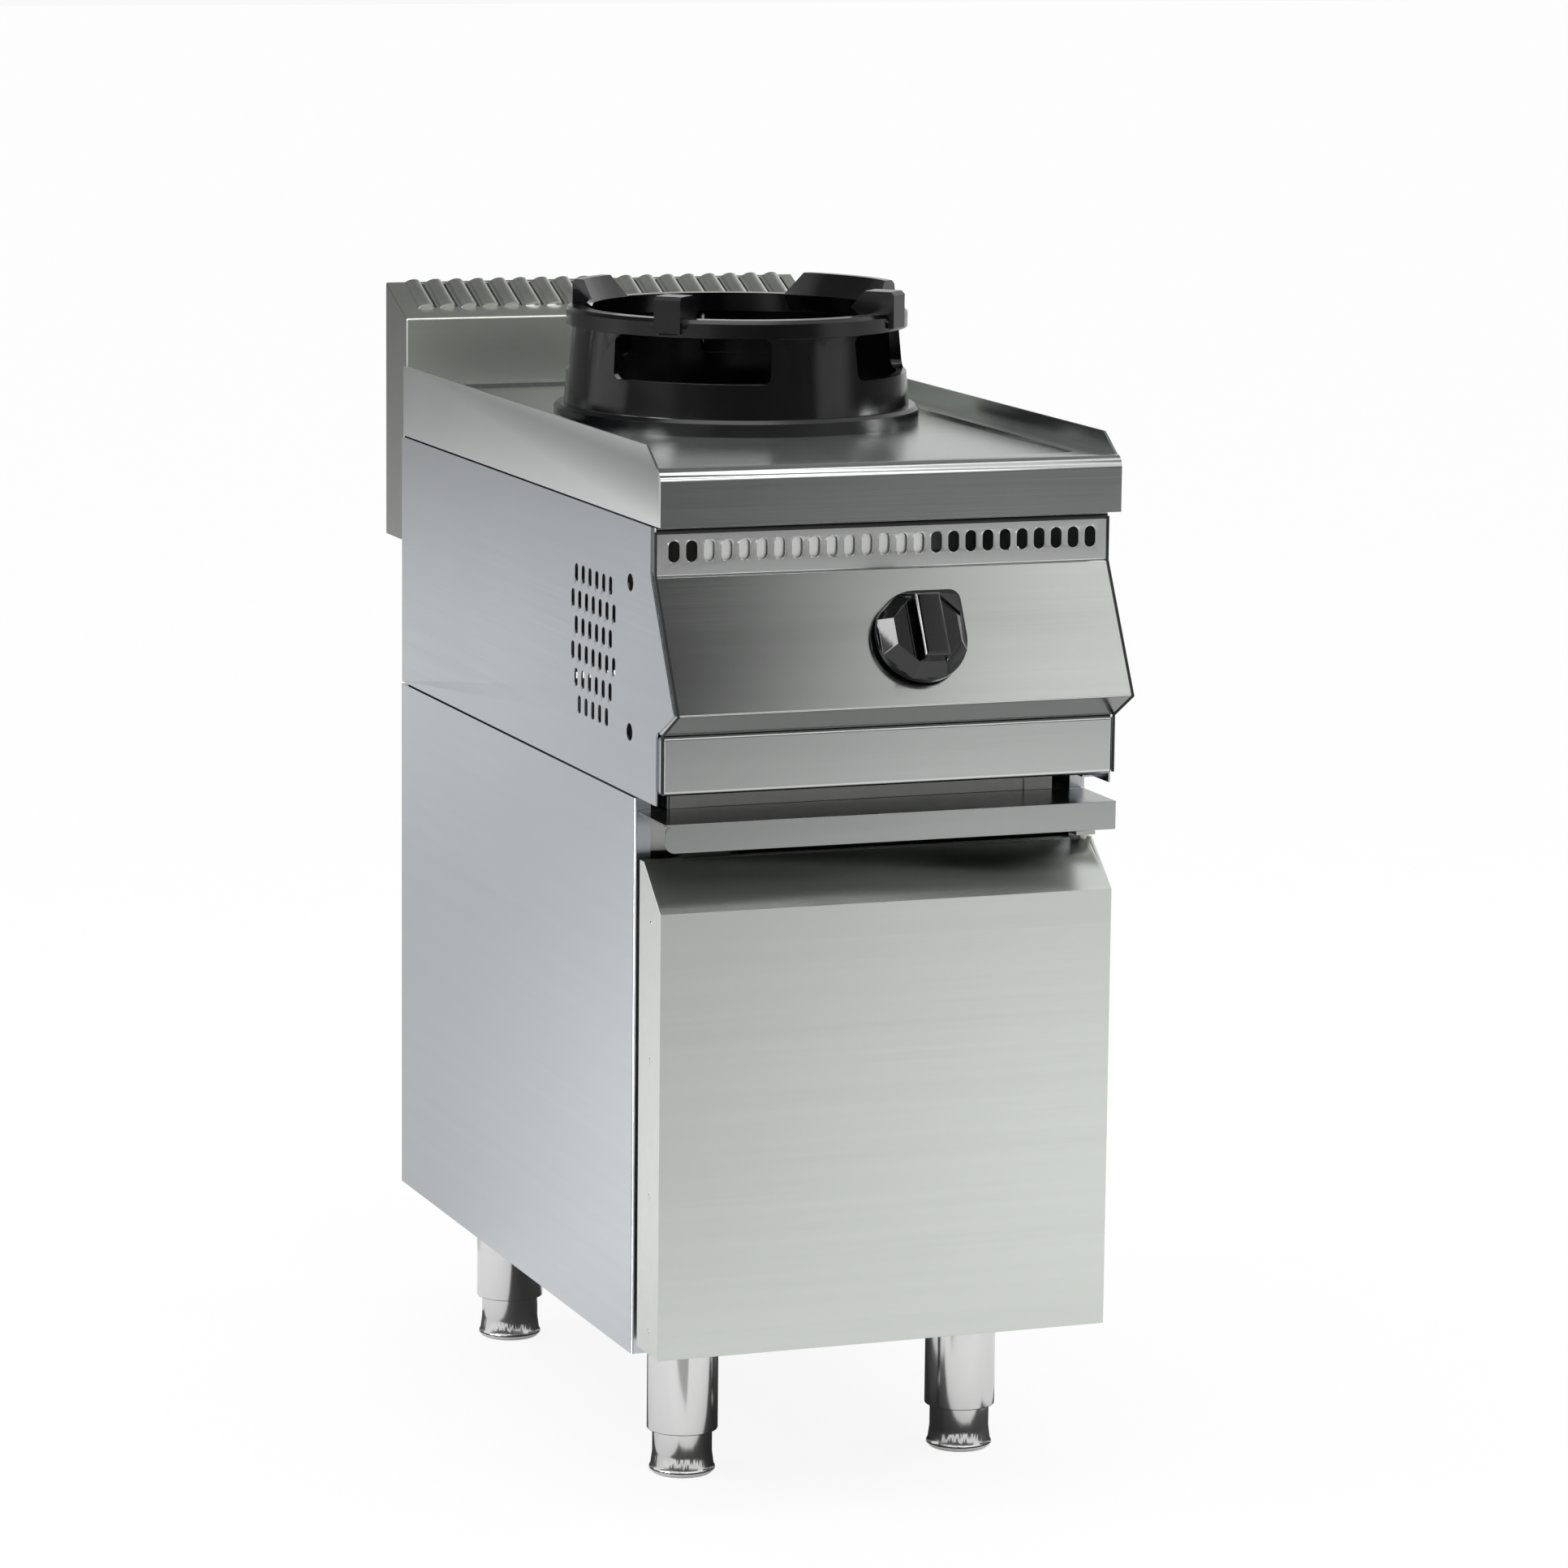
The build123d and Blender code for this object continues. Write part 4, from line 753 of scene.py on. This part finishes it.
# Webs: the two rear openings of the stand are closed by thin cast webs, set a little into the wall.
# They are cast in one with the ring, so they ride on it and share its enamel.
ring_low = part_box("wok_stand")[0]
foot_circle = [v.co.y for v in frame["nodes"]["wok_stand"].data.vertices if v.co.z < ring_low.z + 0.001]
ring_y = (min(foot_circle) + max(foot_circle)) / 2
web_sill, web_head, web_inset, web_depth = 0.042, 0.0815, 0.0018, 0.0045
web_half_turn, web_steps, web_turns = 28.8, 24, (53.0, 143.0)
wall_foot, wall_head = 0.014, 0.081
foot_radius, head_radius = 0.149, 0.143


def wall_radius(height):
    """The ring wall's outer radius at a height above its foot."""
    return foot_radius + (height - wall_foot) / (wall_head - wall_foot) * (head_radius - foot_radius)


for number, middle in enumerate(web_turns):
    web = bmesh.new()
    rows = []
    for step in range(web_steps + 1):
        turn = math.radians(middle + web_half_turn * (2 * step / web_steps - 1))
        row = []
        for height, inset in (
            (web_sill, web_inset),
            (web_head, web_inset),
            (web_head, web_inset + web_depth),
            (web_sill, web_inset + web_depth),
        ):
            reach = wall_radius(height) - inset
            across_ring, along_ring = reach * math.cos(turn), reach * math.sin(turn)
            row.append(web.verts.new((across_ring, ring_y + along_ring, ring_low.z + height)))
        rows.append(row)
    for first, second in zip(rows, rows[1:]):
        for corner in range(4):
            web.faces.new((first[corner], first[corner - 1], second[corner - 1], second[corner]))
    web.faces.new(rows[0])
    web.faces.new(list(reversed(rows[-1])))
    bmesh.ops.recalc_face_normals(web, faces=web.faces)
    name = f"rear_web_{number}"
    made = new_object(name, smooth_mesh(name, web, enamel.material, cast_crease))
    fixed_to("wok_stand", made)

# Knob: one moulding of gloss black plastic, with a faceted skirt, a pointer corner and a grip bar.
# It is pushed on to the tap's spindle, so it rides on the turning body and hides the panel's hole.
# The grip bar's long edges are chamfered, and the facets stay crisp.
gloss = even_finish(
    "gloss_black", 300.0, (0.001, 0.001, 0.0015), (0.002, 0.002, 0.003),
    rough=0.06, spread=0.04, depth=0.00002, specular=0.6,
)
facet_merge, facet_edge = 0.0012, 0.0006
grip_chamfer, grip_length, grip_rise, grip_turn = 0.003, 0.018, 0.03, math.radians(60)
work = merged_mesh("knob")
bmesh.ops.remove_doubles(work, verts=work.verts, dist=facet_merge)
grip_edges = []
for edge in work.edges:
    long = edge.calc_length() > grip_length and abs(edge.verts[0].co.z - edge.verts[1].co.z) > grip_rise
    if long and is_sharp(edge, grip_turn) and edge.is_convex:
        grip_edges.append(edge)
bevelled(work, grip_edges, grip_chamfer, 1)
round_edges(work, facet_edge, 0.0, narrow=0.0, corner=20.0)
finished_piece("moulded_knob", work, gloss, "knob", ["knob"])

# Legs: four fixed sleeves of polished stainless tube under the floor pan, with a foot in each.
# A foot is turned from the same bright steel and screws in and out, so each rides on its own body.
polish = Finish("polished_tube")
ripple = polish.noise((40.0, 40.0, 8.0))
hair = polish.noise((1500.0, 1500.0, 20.0))
polish.surface(
    {
        "Base Color": polish.mix(ripple, (0.64, 0.64, 0.64), (0.70, 0.70, 0.69)),
        "Metallic": 1.0,
        "Roughness": 0.08 + hair * 0.08,
    },
    hair,
    0.000005,
)
tube_edge = 0.0008
feet = [f"{end}_{side}_foot" for end in ("front", "rear") for side in ("left", "right")]
for node in ("leg_sleeves", *feet):
    work = merged_mesh(node)
    round_edges(work, tube_edge, 0.0, narrow=0.0)
    body = node if node in feet else "cabinet"
    finished_piece(f"{node}_tube", work, polish.material, body, [node])

# Small pieces: the seals, hinge parts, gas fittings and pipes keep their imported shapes.
# Each takes a finish by its slot: sheet or plated steel, foam rubber, nylon, turned brass or drawn pipe.
rubber = even_finish(
    "black_foam", 1200.0, (0.01, 0.01, 0.01), (0.03, 0.03, 0.03),
    rough=0.8, spread=0.15, depth=0.0002,
)
nylon = even_finish(
    "black_nylon", 250.0, (0.015, 0.015, 0.015), (0.03, 0.03, 0.03),
    rough=0.4, spread=0.15, depth=0.00003,
)
brass = even_finish(
    "turned_brass", 700.0, (0.62, 0.44, 0.18), (0.72, 0.54, 0.26),
    rough=0.25, spread=0.12, depth=0.00002, metallic=1.0,
)
pipe = even_finish(
    "drawn_pipe", 500.0, (0.56, 0.52, 0.47), (0.64, 0.59, 0.53),
    rough=0.2, spread=0.12, depth=0.00001, metallic=1.0,
)
slot_finish = {
    "inner_sheet": inner_steel,
    "hardware": zinc,
    "black_seal": rubber,
    "bearing_plastic": nylon,
    "brass_fitting": brass,
    "gas_pipe": pipe,
}
for part in frame["record"]["subparts"]:
    node = frame["nodes"][part["node"]]
    if not node.hide_render:
        for number in range(len(node.data.materials)):
            node.data.materials[number] = slot_finish[part["material_slot"]]
